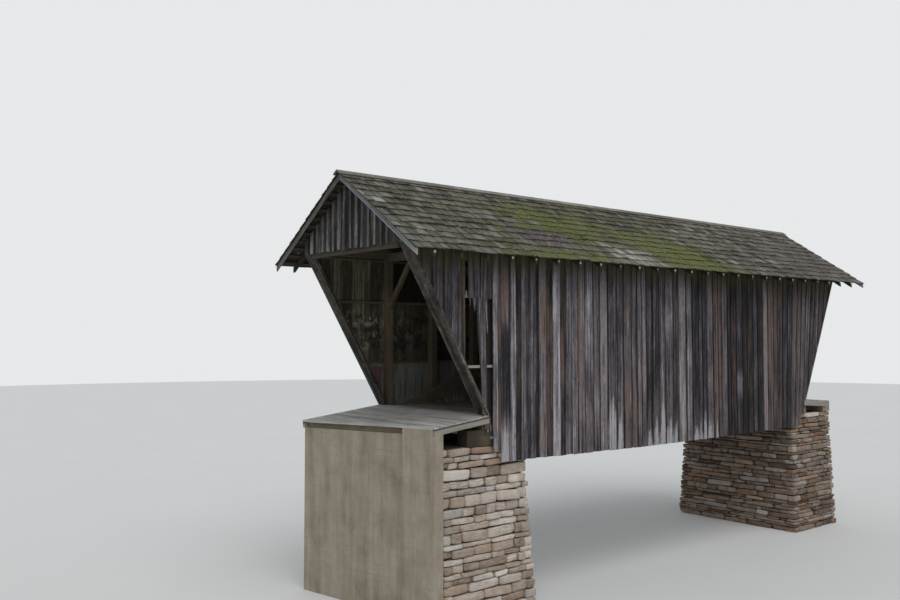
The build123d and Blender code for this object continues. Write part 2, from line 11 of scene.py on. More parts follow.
import bpy
import numpy as np
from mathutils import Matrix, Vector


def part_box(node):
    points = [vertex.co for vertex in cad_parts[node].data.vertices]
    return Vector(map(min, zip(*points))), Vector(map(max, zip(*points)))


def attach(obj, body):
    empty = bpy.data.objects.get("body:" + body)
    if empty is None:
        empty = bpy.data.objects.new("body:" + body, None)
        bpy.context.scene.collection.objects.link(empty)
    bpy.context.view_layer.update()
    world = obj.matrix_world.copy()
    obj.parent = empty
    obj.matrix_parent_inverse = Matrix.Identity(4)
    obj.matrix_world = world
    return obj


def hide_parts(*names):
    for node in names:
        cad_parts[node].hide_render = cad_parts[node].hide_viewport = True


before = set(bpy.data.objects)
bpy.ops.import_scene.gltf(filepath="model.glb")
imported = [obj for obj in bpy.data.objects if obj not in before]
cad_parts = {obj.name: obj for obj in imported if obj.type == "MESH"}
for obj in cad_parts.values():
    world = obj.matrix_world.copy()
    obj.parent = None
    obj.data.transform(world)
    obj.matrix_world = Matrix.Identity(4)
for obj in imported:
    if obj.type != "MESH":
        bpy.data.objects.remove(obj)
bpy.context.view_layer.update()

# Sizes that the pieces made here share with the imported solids
DATUM = 3.70
FLOOR_TOP = 3.68
ABUTMENT_TOP = 3.09
NEAR_LEAN, FAR_LEAN = tan(radians(30.3)), tan(radians(25.6))
NEAR_END, FAR_END = -5.632, 5.895
PITCH = radians(33.56)
RISE = tan(PITCH)
EAVE = 2.48
SLOPE = EAVE / cos(PITCH)
COURSES = 12
EXPOSURE = SLOPE / COURSES
NEAR_GABLE, FAR_GABLE = -7.5797, 7.5802
ROOF_START, ROOF_END = -7.8747, 7.8752
RIDGE = 8.2708
NEAR_SLOPE = 0.12
NEAR_RAMP, NEAR_BANK, SKEW = -5.625, -7.258, tan(radians(10.3))
FAR_RAMP, FAR_TURN, FAR_TOP = 5.79, atan(0.066), 3.47
FAR_RUN = 1.275 / cos(FAR_TURN)
DECK_HALF, FLOOR_HALF = 1.78, 1.39
DECK_THICK, FLOOR_THICK = 0.040, 0.080

LEFT, RIGHT = 1, -1
SIDES = (("right", RIGHT), ("left", LEFT))
ENDS = (("near", -1), ("far", 1))


# finishes


class Sock:
    """A node socket that takes part in Python sums: each operator adds a Math node."""

    def __init__(self, finish, socket):
        self.finish, self.socket = finish, socket

    def maths(self, operation, first, second):
        return self.finish.node("ShaderNodeMath", {"operation": operation}, {0: first, 1: second})

    def __add__(self, other):
        return self.maths("ADD", self, other)

    def __sub__(self, other):
        return self.maths("SUBTRACT", self, other)

    def __rsub__(self, other):
        return self.maths("SUBTRACT", other, self)

    def __mul__(self, other):
        return self.maths("MULTIPLY", self, other)

    __radd__ = __add__
    __rmul__ = __mul__


class Finish:
    """A material in the making; node() adds any node, and the other methods are built on it.

    colour is the colour so far: mark() lays a shade over it, and wear() puts it on the surface.
    """

    def __init__(self, name):
        self.material = bpy.data.materials.new(name)
        self.material.use_nodes = True
        self.tree = self.material.node_tree
        self.surface = self.tree.nodes["Principled BSDF"]
        self.colour = None
        self.place = self.node("ShaderNodeTexCoord", {}, {}, "Object")

    def put(self, socket, value):
        if isinstance(value, Sock):
            self.tree.links.new(value.socket, socket)
        else:
            socket.default_value = value

    def node(self, kind, settings, inputs, output=0):
        made = self.tree.nodes.new(kind)
        for key, value in settings.items():
            if key == "stops":
                elements = made.color_ramp.elements
                while len(elements) < len(value):
                    elements.new(1.0)
                for element, (place, shade) in zip(elements, value):
                    element.position = place
                    element.color = (*shade, 1.0)
            else:
                setattr(made, key, value)
        for key, value in inputs.items():
            self.put(made.inputs[key], value)
        return Sock(self, made.outputs[output])

    def told(self, name):
        return self.node("ShaderNodeAttribute", {"attribute_name": name}, {}, "Vector")

    def parts(self, vector):
        return [self.node("ShaderNodeSeparateXYZ", {}, {0: vector}, axis) for axis in "XYZ"]

    def scaled(self, vector, scale):
        """Inputs of a texture; three numbers as scale stretch the vector first."""
        if isinstance(scale, tuple):
            settings, inputs = {"operation": "MULTIPLY"}, {0: vector, 1: scale}
            vector, scale = self.node("ShaderNodeVectorMath", settings, inputs), 1.0
        return {"Vector": vector, "Scale": scale}

    def noise(self, vector, scale, detail=3.0, roughness=0.55):
        inputs = {**self.scaled(vector, scale), "Detail": detail, "Roughness": roughness}
        return self.node("ShaderNodeTexNoise", {}, inputs)

    def cells(self, vector, scale):
        return self.node("ShaderNodeTexVoronoi", {}, self.scaled(vector, scale), "Distance")

    def between(self, value, low, high):
        """0 below low, 1 above high, smooth in between; low may be above high."""
        if low > high:
            return 1.0 - self.between(value, high, low)
        inputs = {"Value": value, "From Min": low, "From Max": high}
        return self.node("ShaderNodeMapRange", {"interpolation_type": "SMOOTHSTEP"}, inputs)

    def ramp(self, value, *stops):
        return self.node("ShaderNodeValToRGB", {"stops": stops}, {0: value})

    def mix(self, share, first, second):
        """The first colour where share is 0 and the second where it is 1."""
        first, second = (s if isinstance(s, Sock) else (*s, 1.0) for s in (first, second))
        return self.node("ShaderNodeMix", {"data_type": "RGBA"}, {0: share, 6: first, 7: second}, 2)

    def mark(self, share, shade):
        self.colour = self.mix(share, self.colour, shade)

    def bump(self, height, distance):
        inputs = {"Strength": 1.0, "Distance": distance, "Height": height}
        self.put(self.surface.inputs["Normal"], self.node("ShaderNodeBump", {}, inputs))

    def wear(self, roughness):
        self.put(self.surface.inputs["Base Color"], self.colour)
        self.put(self.surface.inputs["Roughness"], roughness)
        self.surface.inputs["Specular IOR Level"].default_value = 0.25
        return self.material


def swayed(level, *sways):
    """level moved by noises, each given with the full range that it adds about nothing."""
    for noise, reach in sways:
        level = level + (noise - 0.5) * reach
    return level


def board_finish(name, shades, warm_shade, olive=0.0, wash=0.0, mottle=0.0):
    """Weathered sawn board with its own grain attribute: fibres, broad streaks, knots, pale chips.

    The tint attribute gives tone, warmth and bleaching; olive is the height above which the wood
    turns dark olive as painted shade under the eave, wash the height of the rail that parts the wear
    and painted shade inside, and mottle the share of blotches.
    """
    f = Finish(name)
    grain = f.told("grain")
    tone, warm, bleach = f.parts(f.told("tint"))
    x, y, z = f.parts(f.place)
    fibre = f.noise(grain, (75, 75, 2.4), 5.0, 0.65)
    streak = f.noise(grain, (22, 22, 0.6), 4.0, 0.6)
    patch = f.noise(grain, (3.0, 3.0, 1.3), 4.0, 0.6)
    speck = f.noise(grain, (30, 30, 9), 3.0, 0.7)
    crack = f.between(f.noise(grain, (42, 42, 0.9), 2.0), 0.58, 0.66)
    knot = f.between(f.cells(grain, (7.0, 7.0, 1.6)), 0.10, 0.04)
    level = swayed(tone, (fibre, 0.70), (streak, 1.50), (patch, 0.80), (speck, 0.55))
    if mottle:
        level = swayed(level, (f.noise(f.place, 7.0, 5.0, 0.65), mottle))
    f.colour = f.ramp(level, *zip((0.0, 0.33, 0.66, 1.0), shades))
    rust = warm * f.between(swayed(patch, (streak, 1.5)), 0.36, 0.62)
    f.mark(rust, f.mix(fibre, warm_shade, tuple(2.2 * c for c in warm_shade)))
    if olive:
        # painted shade: the top of the wall under the eave turns dark olive
        eave_shade = f.between(swayed(z, (patch, 1.0), (streak, 0.7)), olive - 0.62, olive)
        f.mark(eave_shade * 0.88, f.mix(streak, (0.012, 0.011, 0.004), (0.106, 0.090, 0.034)))
    if wash:
        inside_wear_and_shade(f, wash, patch, streak, x, y, z)
    f.mark(knot * 0.7, (0.020, 0.013, 0.010))
    f.mark(crack * 0.65, (0.012, 0.010, 0.010))
    pale = f.between(swayed(bleach * 0.85, (streak, 3.4), (speck, 1.2)), 0.30, 0.95)
    f.mark(pale * 0.92, f.mix(fibre, (0.18, 0.17, 0.18), (0.49, 0.47, 0.50)))
    chip = f.between(f.cells(f.place, (9.0, 9.0, 6.0)), 0.055, 0.035)
    chip = chip * f.between(f.noise(f.place, 1.7), 0.55, 0.62)
    f.mark(chip * 0.7, (0.45, 0.45, 0.43))
    f.bump(fibre * 0.6 + streak * 0.5 - crack * 0.9 - knot * 0.3, 0.0035)
    return f.wear(0.94 - fibre * 0.16)


def inside_wear_and_shade(f, rail, patch, streak, x, y, z):
    """Wear inside the walls: a thin pale wash below a rail and rubs above it, and a faded red patch
    beside the near portal; and painted shade towards mid-length, deepest in the upper bays."""
    below = f.between(swayed(z, (streak, 0.1)), rail + 0.03, rail - 0.03)
    washed = f.mix(streak, (0.16, 0.157, 0.148), (0.54, 0.535, 0.52))
    f.mark(below * f.between(patch, 0.25, 0.5) * 0.8, washed)
    scuff = f.noise(f.place, 5.5, 5.0, 0.72)
    rubbed = f.between(z, rail + 0.20, rail + 0.32) * f.between(z, rail + 1.20, rail + 0.95)
    f.mark(rubbed * f.between(scuff, 0.53, 0.60) * 0.6, (0.46, 0.455, 0.44))
    f.mark(rubbed * f.between(scuff, 0.47, 0.40) * 0.7, (0.020, 0.020, 0.019))
    faded = f.between(x, -5.60, -5.64) * f.between(z, rail - 0.06, rail - 0.10)
    faded = faded * f.between(y, 0.0, 0.5)
    f.mark(faded * 0.75, f.mix(patch, (0.075, 0.018, 0.018), (0.22, 0.075, 0.070)))
    # painted shade deeper inside the bridge, weaker below the rail
    inside_shade = f.between(x * x, 6.0 ** 2, 3.9 ** 2) * (1 - below * 0.55)
    f.mark(inside_shade * 0.74, (0.014, 0.012, 0.011))
    # more painted shade in the upper bays under the roof
    high = f.between(x * x, 5.60 ** 2, 5.15 ** 2) * f.between(z, rail + 1.25, rail + 1.40)
    f.mark(high * 0.80, (0.012, 0.011, 0.010))


def timber_finish(name, stretch, shades, touch=None):
    """Rough-sawn framing timber read from Object coordinates; stretch is small along its length.

    touch gets the finish and the parts of the place, and lays a local mark over the colour.
    """
    f = Finish(name)
    fibre = f.noise(f.place, stretch, 5.0, 0.62)
    patch = f.noise(f.place, 1.1, 4.0)
    stain = f.noise(f.place, tuple(0.14 * s for s in stretch))
    level = fibre * 0.45 + patch * 0.35 + stain * 0.35
    f.colour = f.ramp(level, *zip((0.3, 0.55, 0.8), shades))
    if touch:
        touch(f, *f.parts(f.place))
    f.bump(fibre, 0.003)
    return f.wear(0.92 - fibre * 0.12)


def shaded_and_pale_tails(f, x, y, z):
    """Rafters given painted shade under the eaves; the upper half of some cut ends made pale."""
    # painted shade on the rafters beyond the walls, under the eaves
    f.mark(f.between(y * y, 1.75 ** 2, 1.84 ** 2) * 0.85, (0.018, 0.015, 0.011))
    end = f.between(y * y, 2.424 ** 2, 2.427 ** 2) * f.between(z, 6.578, 6.594)
    # painted shade: the tails from x -7.0 to -6.0 keep dark ends
    bare = 1 - f.between(x, -7.05, -7.00) * f.between(x, -5.95, -6.00)
    uneven = f.between(f.noise(f.place, 0.9), 0.15, 0.75)
    f.mark(end * bare * uneven, (0.42, 0.41, 0.385))


def shadowed_edge(f, x, y, z):
    """Painted shadow along the near joists' top edges under the planks, following the ramp up."""
    f.mark(f.between(z - x * NEAR_SLOPE, 4.283, 4.296) * 0.9, (0.018, 0.016, 0.013))


def shaded_chord(f, x, y, z):
    """Chords darkened all along as painted shade under the deck, most of all at the near end."""
    f.mark(0.46 + f.between(x, -5.62, -5.95) * 0.38, (0.020, 0.017, 0.012))


def shaded_corner_posts(f, x, y, z):
    """Posts painted near black beside the missing boards, as painted shade."""
    f.mark(f.between(x, -5.38, -5.44) * f.between(y, 0.3, -0.3) * 0.92, (0.010, 0.009, 0.008))


def bleached_rail(f, x, y, z):
    """Rail ends greyed by the weather where the boards are gone."""
    bare = f.between(x, -5.44, -5.50) * f.between(x, -6.30, -6.20) * f.between(y, 0.3, -0.3)
    f.mark(bare * 0.85, (0.30, 0.285, 0.265))


RUST = (0.082, 0.048, 0.031)
siding_finish = board_finish(
    "weathered_siding",
    ((0.012, 0.011, 0.013), (0.052, 0.046, 0.050), (0.147, 0.133, 0.148), (0.37, 0.35, 0.37)),
    RUST, olive=6.78,
)
inner_finish = board_finish(
    "inner_wall",
    ((0.055, 0.050, 0.033), (0.185, 0.165, 0.112), (0.32, 0.29, 0.21), (0.46, 0.42, 0.32)),
    RUST, wash=4.60,
)
gable_finish = board_finish(
    "gable_boarding",
    ((0.010, 0.010, 0.010), (0.040, 0.039, 0.036), (0.120, 0.119, 0.115), (0.34, 0.34, 0.335)),
    RUST,
)
deck_finish = board_finish(
    "grey_planks",
    ((0.10, 0.095, 0.086), (0.24, 0.231, 0.220), (0.36, 0.352, 0.338), (0.50, 0.49, 0.47)),
    (0.16, 0.12, 0.075),
)
floor_finish = board_finish(
    "floor_planks",
    ((0.06, 0.052, 0.042), (0.15, 0.135, 0.115), (0.25, 0.23, 0.20), (0.36, 0.34, 0.30)),
    (0.12, 0.08, 0.05),
)
trim_finish = board_finish(
    "blue_grey_trim",
    ((0.045, 0.045, 0.045), (0.14, 0.145, 0.15), (0.25, 0.27, 0.285), (0.38, 0.40, 0.41)),
    (0.10, 0.08, 0.06),
)
shelter_finish = board_finish(
    "shelter_timber",
    ((0.008, 0.008, 0.007), (0.028, 0.027, 0.023), (0.070, 0.067, 0.058), (0.22, 0.21, 0.195)),
    (0.09, 0.055, 0.032), mottle=1.5,
)
ALONG, ACROSS, UPRIGHT, DOWN_SLOPE = (2.4, 60, 60), (60, 2.4, 60), (60, 60, 2.4), (60, 6, 8)
FRAME_SHADES = ((0.045, 0.034, 0.022), (0.125, 0.100, 0.066), (0.225, 0.190, 0.135))
JOIST_SHADES = ((0.12, 0.108, 0.088), (0.235, 0.215, 0.185), (0.36, 0.335, 0.295))
# painted shade: darker copies of the frame shades for the gable frames and the laths under the roof
SHADED_GABLE_SHADES = ((0.020, 0.016, 0.011), (0.050, 0.041, 0.030), (0.095, 0.080, 0.060))
SHADED_LATH_SHADES = ((0.016, 0.013, 0.009), (0.042, 0.034, 0.024), (0.085, 0.070, 0.050))
timber_x = timber_finish("frame_timber_long", ALONG, FRAME_SHADES)
timber_y = timber_finish("frame_timber_cross", ACROSS, FRAME_SHADES)
timber_z = timber_finish("frame_timber_post", UPRIGHT, FRAME_SHADES, shaded_corner_posts)
chord_finish = timber_finish("chord_timber", ALONG, FRAME_SHADES, shaded_chord)
rail_finish = timber_finish("wall_rail_timber", ALONG, FRAME_SHADES, bleached_rail)
rafter_finish = timber_finish("rafter_timber", DOWN_SLOPE, FRAME_SHADES, shaded_and_pale_tails)
joist_finish = timber_finish("approach_timber", ALONG, JOIST_SHADES, shadowed_edge)
# gable frames and laths take the darker copies, as painted shade
shaded_gable_timber = timber_finish("shaded_gable_timber", ACROSS, SHADED_GABLE_SHADES)
shaded_lath_finish = timber_finish("shaded_lath_timber", ALONG, SHADED_LATH_SHADES)


def shingle_finish():
    """Split shingles: fibres down the slope, lichen, and moss and leaves where the tint tells."""
    f = Finish("mossy_shingles")
    tone, warm, moss = f.parts(f.told("tint"))
    fibre = f.noise(f.told("grain"), (95, 95, 5), 5.0, 0.65)
    patch = f.noise(f.place, 1.6, 4.0, 0.6)
    spots = f.noise(f.place, 8.0, 5.0, 0.65)
    crumbs = f.noise(f.place, 34.0, 4.0, 0.7)
    f.colour = f.ramp(
        swayed(tone, (fibre, 0.70), (patch, 0.55), (crumbs, 0.60), (spots, 0.35)),
        (0.0, (0.015, 0.014, 0.010)), (0.35, (0.076, 0.072, 0.053)),
        (0.7, (0.180, 0.173, 0.146)), (1.0, (0.36, 0.35, 0.325)),
    )
    leaves = warm * f.between(swayed(spots, (crumbs, 0.5)), 0.30, 0.50)
    f.mark(leaves, f.mix(crumbs, (0.024, 0.018, 0.016), (0.135, 0.106, 0.098)))
    twigs = f.between(f.noise(f.place, (55, 9, 9), 2.0), 0.62, 0.68)
    twigs = twigs + f.between(f.noise(f.place, (9, 45, 45), 2.0), 0.62, 0.68)
    f.mark(leaves * twigs * 0.9, (0.36, 0.33, 0.34))
    lichen = f.between(swayed(spots, (patch, 0.4)), 0.62, 0.72)
    f.mark(lichen * 0.45, (0.34, 0.34, 0.30))
    green = f.between(spots * 0.7 + patch * 0.6 + crumbs * 0.7 + moss * 0.58, 1.20, 1.44)
    tufts = f.between(crumbs, 0.36, 0.66)
    f.mark(green * 0.88, f.mix(tufts, (0.028, 0.033, 0.012), (0.205, 0.220, 0.062)))
    f.bump(fibre * 0.6 + green * crumbs * 2.0, 0.007)
    return f.wear(0.95 - fibre * 0.1)


def stone_finish():
    """Flat field stones, each with its own tone: ochre, rust and grey layers along its bed."""
    f = Finish("rubble_stone")
    grain = f.told("grain")
    tone, ochre, grey = f.parts(f.told("tint"))
    layers = f.noise(grain, (4, 4, 42), 6.0, 0.65)
    blotch = f.noise(grain, 7.0, 5.0, 0.6)
    chipped = f.noise(grain, 26.0, 4.0, 0.7)
    f.colour = f.ramp(
        swayed(tone, (layers, 0.9), (blotch, 0.5), (chipped, 0.35)),
        (0.0, (0.060, 0.044, 0.034)), (0.4, (0.20, 0.150, 0.115)),
        (0.75, (0.40, 0.33, 0.27)), (1.0, (0.60, 0.55, 0.49)),
    )
    f.mark(ochre * f.between(layers, 0.42, 0.62), (0.32, 0.165, 0.078))
    f.mark(grey * f.between(blotch, 0.35, 0.6), (0.33, 0.32, 0.305))
    f.bump(layers * 0.8 + blotch * 0.7 + chipped * 0.35, 0.024)
    return f.wear(0.95 - blotch * 0.12)


def concrete_finish():
    """Old rough concrete: sandy stains that run down it, pits and the joints of its form boards."""
    f = Finish("concrete")
    z = f.parts(f.place)[2]
    stain = f.noise(f.place, 2.3, 5.0, 0.6)
    runs = f.noise(f.place, (5.5, 5.5, 0.5), 4.0, 0.6)
    sand = f.noise(f.place, 60.0, 4.0, 0.7)
    pits = f.between(f.cells(f.place, 38.0), 0.22, 0.12) * f.between(stain, 0.45, 0.58)
    half_board = 0.1075
    off_joint = {0: swayed(z, (stain, 0.012)), 1: half_board}
    off_joint = f.node("ShaderNodeMath", {"operation": "PINGPONG"}, off_joint)
    joint = f.between(off_joint, 0.0050, 0.0010) * f.between(stain, 0.48, 0.62)
    f.colour = f.ramp(
        stain * 0.45 + runs * 0.45 + sand * 0.25, (0.30, (0.125, 0.094, 0.066)),
        (0.55, (0.29, 0.247, 0.192)), (0.80, (0.43, 0.393, 0.340)),
    )
    f.mark(f.between(stain + sand * 0.3, 0.76, 0.86) * 0.5, (0.34, 0.20, 0.115))
    f.mark(pits, (0.12, 0.09, 0.065))
    f.mark(joint * 0.4, (0.12, 0.095, 0.070))
    f.bump(sand * 0.6 + stain * 1.3 + runs * 0.3 - pits * 0.6 - joint * 0.4, 0.010)
    return f.wear(0.96 - sand * 0.08)


def mortar_finish():
    """Dark earth in the joints behind the stones."""
    f = Finish("joint_earth")
    crumbs = f.noise(f.place, 22.0, 5.0, 0.7)
    f.colour = f.mix(crumbs, (0.022, 0.017, 0.012), (0.085, 0.066, 0.048))
    f.bump(crumbs, 0.01)
    return f.wear(0.97 - crumbs * 0.05)


shingles_finish, stones_finish = shingle_finish(), stone_finish()
concrete, mortar = concrete_finish(), mortar_finish()


# pieces


def piece(name, points, faces, finishes, slot, replaces, choice=None, smooth=False, **told):
    """Computed points and faces as a mesh that stands for nodes, with its vector attributes.

    choice gives the number of the finish for each face.
    """
    mesh = bpy.data.meshes.new(name)
    mesh.from_pydata(points.tolist(), [], faces)
    for label, values in told.items():
        layer = mesh.attributes.new(label, "FLOAT_VECTOR", "POINT")
        layer.data.foreach_set("vector", np.asarray(values, np.float32).ravel())
    for finish in finishes:
        mesh.materials.append(finish)
    if choice is not None:
        mesh.polygons.foreach_set("material_index", np.asarray(choice, np.int32))
    mesh.polygons.foreach_set("use_smooth", np.full(len(faces), smooth))
    mesh.update()
    thing = bpy.data.objects.new(name, mesh)
    bpy.context.scene.collection.objects.link(thing)
    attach(thing, "root")
    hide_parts(*replaces)


def rows(value, count, width=None):
    """value as an array of count rows, repeated where it is given once."""
    shape = (count,) if width is None else (count, width)
    return np.broadcast_to(np.asarray(value, float), shape).astype(float)


def pairs(value, count):
    """value as count pairs, one for each end or edge; a single number serves for both."""
    value = np.asarray(value, float)
    if value.ndim < 2:
        value = np.repeat(value.reshape(-1, 1), 2, axis=1)
    return rows(value, count, 2)


def boards(rng, base, along, out, half, low, high, thick, lift=0.0, cup=0.0, rough=0.0,
           edge=0.002, ease=0.003, tint=(0.5, 0.0, 0.0), steps=9, across=None):
    """Points, faces and attributes of boards, all at once.

    A board's point is base + across * u * half + out * (lift + v * thick) + along * s. Its section
    runs round the eight corners (u, v) of an eased rectangle, and s goes from low to high, each given
    at the board's two edges and joined by a straight cut; half, lift and thick are given at its two
    ends. The board is bent across by cup * (u squared), its edges waver by edge (three sines along
    it) and its ends are uneven by rough. steps is a count of stations, or their shares of the length,
    and tint is tone, warmth and bleaching for each board, or what a function gives for every point's
    u and s.
    """
    count = len(base)
    base, along, out = (rows(a, count, 3) for a in (base, along, out))
    across = np.cross(out, along) if across is None else rows(across, count, 3)
    cup = rows(cup, count)
    half, low, high, thick, lift = (pairs(a, count) for a in (half, low, high, thick, lift))
    if np.isscalar(steps):
        t = 0.5 - 0.5 * np.cos(np.linspace(0, np.pi, steps))
    else:
        t = np.asarray(steps, float)
    steps = len(t)
    eased = (1 - ease / half.max(axis=1))[:, None]
    one = np.ones((count, 1))
    flat = 0.35 * one
    u = [-one, -eased, -flat, flat, eased, one, one, -one]
    eased_face = 1 - ease / np.maximum(thick.max(axis=1), 0.004)[:, None]
    v = [eased_face, one, one, one, one, eased_face, 0 * one, 0 * one]
    u, v = (np.concatenate(values, axis=1)[:, ::-1] for values in (u, v))
    share = (u + 1) / 2
    start = low[:, :1] * (1 - share) + low[:, 1:] * share
    stop = high[:, :1] * (1 - share) + high[:, 1:] * share
    start = start + rng.uniform(0, 1, u.shape) * rough
    stop = stop - rng.uniform(0, 1, u.shape) * rough

    def run(ends):
        return ends[:, None, :1] * (1 - t)[None, :, None] + ends[:, None, 1:] * t[None, :, None]

    s = start[:, None] * (1 - t)[None, :, None] + stop[:, None] * t[None, :, None]
    waver = np.zeros((count, steps, 1))
    for k in range(1, 4):
        turn = rng.uniform(0, 2 * np.pi, (count, 1, 1))
        waver += np.sin(k * 2.3 * t[None, :, None] * np.pi + turn) / k
    side = u[:, None] * run(half) + waver * edge * np.sign(u[:, None])
    rise = run(lift) + v[:, None] * run(thick) + cup[:, None, None] * u[:, None] ** 2
    points = (
        base[:, None, None]
        + across[:, None, None] * side[..., None]
        + out[:, None, None] * rise[..., None]
        + along[:, None, None] * s[..., None]
    )
    grain = np.stack([side, rise, s], axis=-1) + rng.uniform(0, 90, (count, 1, 1, 3))
    corners = u.shape[1]
    ring = np.arange(corners)
    after = (ring + 1) % corners
    k = np.arange(steps - 1)[:, None] * corners
    sides = np.stack([k + ring, k + after, k + corners + after, k + corners + ring], axis=-1)
    first = np.arange(count)[:, None] * steps * corners
    quads = (first[:, None] + sides.reshape(1, -1, 4)).reshape(-1, 4)
    caps = np.concatenate([first + ring[::-1], first + (steps - 1) * corners + ring])
    back = np.tile(np.tile(ring == 0, steps - 1), count)
    if callable(tint):
        shade = tint(np.broadcast_to(u[:, None], s.shape), s)
    else:
        shade = np.broadcast_to(np.asarray(tint, float), (count, 3))[:, None, None]
    return {
        "points": points.reshape(-1, 3),
        "faces": quads.tolist() + caps.tolist(),
        "grain": grain.reshape(-1, 3),
        "tint": np.broadcast_to(shade, (*s.shape, 3)).reshape(-1, 3),
        "back": np.concatenate([back, np.zeros(len(caps), bool)]),
    }


def together(*groups):
    """Several groups of boards as one."""
    first = np.cumsum([0] + [len(g["points"]) for g in groups[:-1]])
    faces = [[i + int(f) for i in face] for g, f in zip(groups, first) for face in g["faces"]]
    values = ("points", "grain", "tint", "back")
    return {"faces": faces, **{key: np.concatenate([g[key] for g in groups]) for key in values}}


def lay(name, group, finishes, slot, replaces):
    """A group of boards as a piece; where two finishes are given, the second is for the backs."""
    choice = group["back"].astype(int) if len(finishes) > 1 else None
    piece(
        name, group["points"], group["faces"], finishes, slot, replaces, choice,
        grain=group["grain"], tint=group["tint"],
    )


def mild_tints(rng, tone):
    """Tone as given, a little warmth by chance and no bleaching."""
    warm = np.clip(rng.normal(0.1, 0.2, len(tone)), 0, 1)
    return np.stack([tone, warm, 0 * tone], axis=1)


# walls

SIDING_IN, SIDING_OUT = 1.750, 1.775
NEAR_EDGE = -5.525
STEP = NEAR_EDGE + 0.27
SIDING_FOOT, FIRST_FOOT = 2.73, 3.02
WALL_TOP = 6.910
WALL_START, WALL_STOP = -7.475, 7.425
GAP_LEFT, GAP_TOP = -6.19, 5.87
FULL_LEAN = 0.17
SEEN_ZERO = NEAR_EDGE - 1.91

# Edges of the cover boards on the seen wall, from near to far, in metres from SEEN_ZERO
SEEN_COVERS = SEEN_ZERO + np.array([
    (-0.02, 0.17), (0.22, 0.4), (0.46, 0.66), (0.72, 0.86), (0.9, 1.11), (1.13, 1.215),
    (1.295, 1.57), (1.6, 1.75), (1.912, 2.03), (2.12, 2.31), (2.37, 2.5), (2.66, 2.77),
    (2.9, 3.04), (3.14, 3.33), (3.53, 3.73), (3.89, 4.04), (4.09, 4.25), (4.28, 4.46),
    (4.5, 4.71), (4.75, 4.91), (4.96, 5.17), (5.23, 5.45), (5.51, 5.69), (5.74, 5.95), (6, 6.15),
    (6.2, 6.31), (6.36, 6.47), (6.52, 6.67), (6.72, 6.92), (6.97, 7.15), (7.2, 7.44),
    (7.49, 7.63), (7.69, 7.93), (7.99, 8.17), (8.22, 8.42), (8.47, 8.57), (8.61, 8.74), (8.79, 9),
    (9.06, 9.21), (9.25, 9.37), (9.41, 9.6), (9.65, 9.75), (9.8, 9.98), (10.04, 10.25),
    (10.3, 10.46), (10.52, 10.71), (10.77, 10.93), (10.98, 11.19), (11.25, 11.42), (11.48, 11.7),
    (11.76, 11.92), (11.97, 12.17), (12.23, 12.44), (12.5, 12.66), (12.72, 12.92), (12.98, 13.16),
    (13.22, 13.4), (13.46, 13.66), (13.72, 13.9), (13.96, 14.14), (14.2, 14.38), (14.44, 14.62),
    (14.68, 14.85),
])

# Marks on the seen wall: from and to along it, from and to above the floor datum, then what is
# added to tone and to warmth; they fade out over MARK_FADE
MARK_FADE = 0.3
SEEN_MARKS = [
    (-0.1, 0.7, 0, 4, -0.04, 0), (0.7, 0.89, 2.2, 4, 0.08, 0.6), (0.7, 1.12, 0, 2.2, -0.08, 0),
    (1.13, 1.25, 0.8, 4, -0.06, 0.4), (1.26, 1.58, 2, 4, 0.08, 0.2), (1.9, 1.99, -1, 4, 0.1, 0),
    (1.99, 2.09, -1, 4, 0.06, 0.5), (2.1, 2.35, 1.9, 3, 0.2, 0.7),
    (2.16, 2.35, -0.2, 1.7, -0.26, -0.3), (2.1, 2.35, -1.1, -0.2, 0.46, 0.2),
    (2.37, 2.5, -1, 4, 0.06, 0), (2.5, 2.66, -1.1, 4, -0.1, 0.2), (2.66, 2.77, 0.5, 4, 0.12, 0.2),
    (2.77, 2.91, -1.1, 4, -0.12, 0), (3.03, 3.14, -1.1, 4, -0.1, 0),
    (3.14, 3.35, 1, 2.9, 0.06, 1), (3.14, 3.35, -0.8, 0.2, 0.02, 0.7),
    (3.35, 3.52, -1.1, 4, -0.1, 0.3), (3.53, 3.74, -1.1, 4, 0.17, -0.2),
    (3.75, 3.88, 0.8, 2.1, 0.1, 1), (3.89, 4.03, -1.1, 4, -0.02, -0.4),
    (4.03, 4.26, -1.1, 4, 0.14, -0.2), (4.27, 4.47, -1.1, 4, 0.06, 0.3),
    (4.5, 4.72, 0.6, 4, 0.28, -0.2), (4.5, 4.72, -1.1, 0.6, 0.12, 0.1),
    (4.75, 4.92, -1.1, 4, 0.02, 0.2), (4.95, 5.17, 0, 4, 0.14, 0.3),
    (5.2, 5.45, -0.2, 4, -0.14, 0), (5.48, 5.7, 0, 4, -0.08, -0.4),
    (5.73, 6.22, -0.9, 0.4, 0.04, 0.8), (5.73, 6, 0.4, 4, 0, 0.4),
    (6.18, 6.33, 0.2, 4, 0.08, 0.3), (6.35, 6.5, 0.3, 4, 0.26, -0.2),
    (6.51, 7.14, 0, 4, -0.16, -0.3), (7.15, 7.46, 0.8, 4, 0.1, -0.4),
    (7.47, 7.64, -1.1, 4, -0.12, 0), (7.64, 7.94, -1.1, 4, 0.14, 0.3),
    (7.97, 8.18, -1.1, 4, 0.18, 0), (8.2, 8.75, -0.3, 4, -0.18, -0.2),
    (8.77, 9.01, -1.1, 4, 0.16, 0.1), (9.04, 9.38, -1.1, 4, 0.02, 0.6),
    (9.4, 9.61, -1.1, 4, 0.1, 0), (9.63, 11.15, -1.1, 4, -0.33, -0.3),
    (10.02, 10.26, 0, 0.6, 0.45, 0), (11.18, 11.44, -1.1, 4, 0.26, 0.3),
    (11.46, 12.16, -1.1, 4, -0.04, 0.3), (12.2, 12.7, -1.1, 4, -0.2, -0.4),
    (12.72, 13.2, -1.1, 4, 0.02, 0.3), (13.2, 15, -1.1, 4, -0.06, 0.2),
]

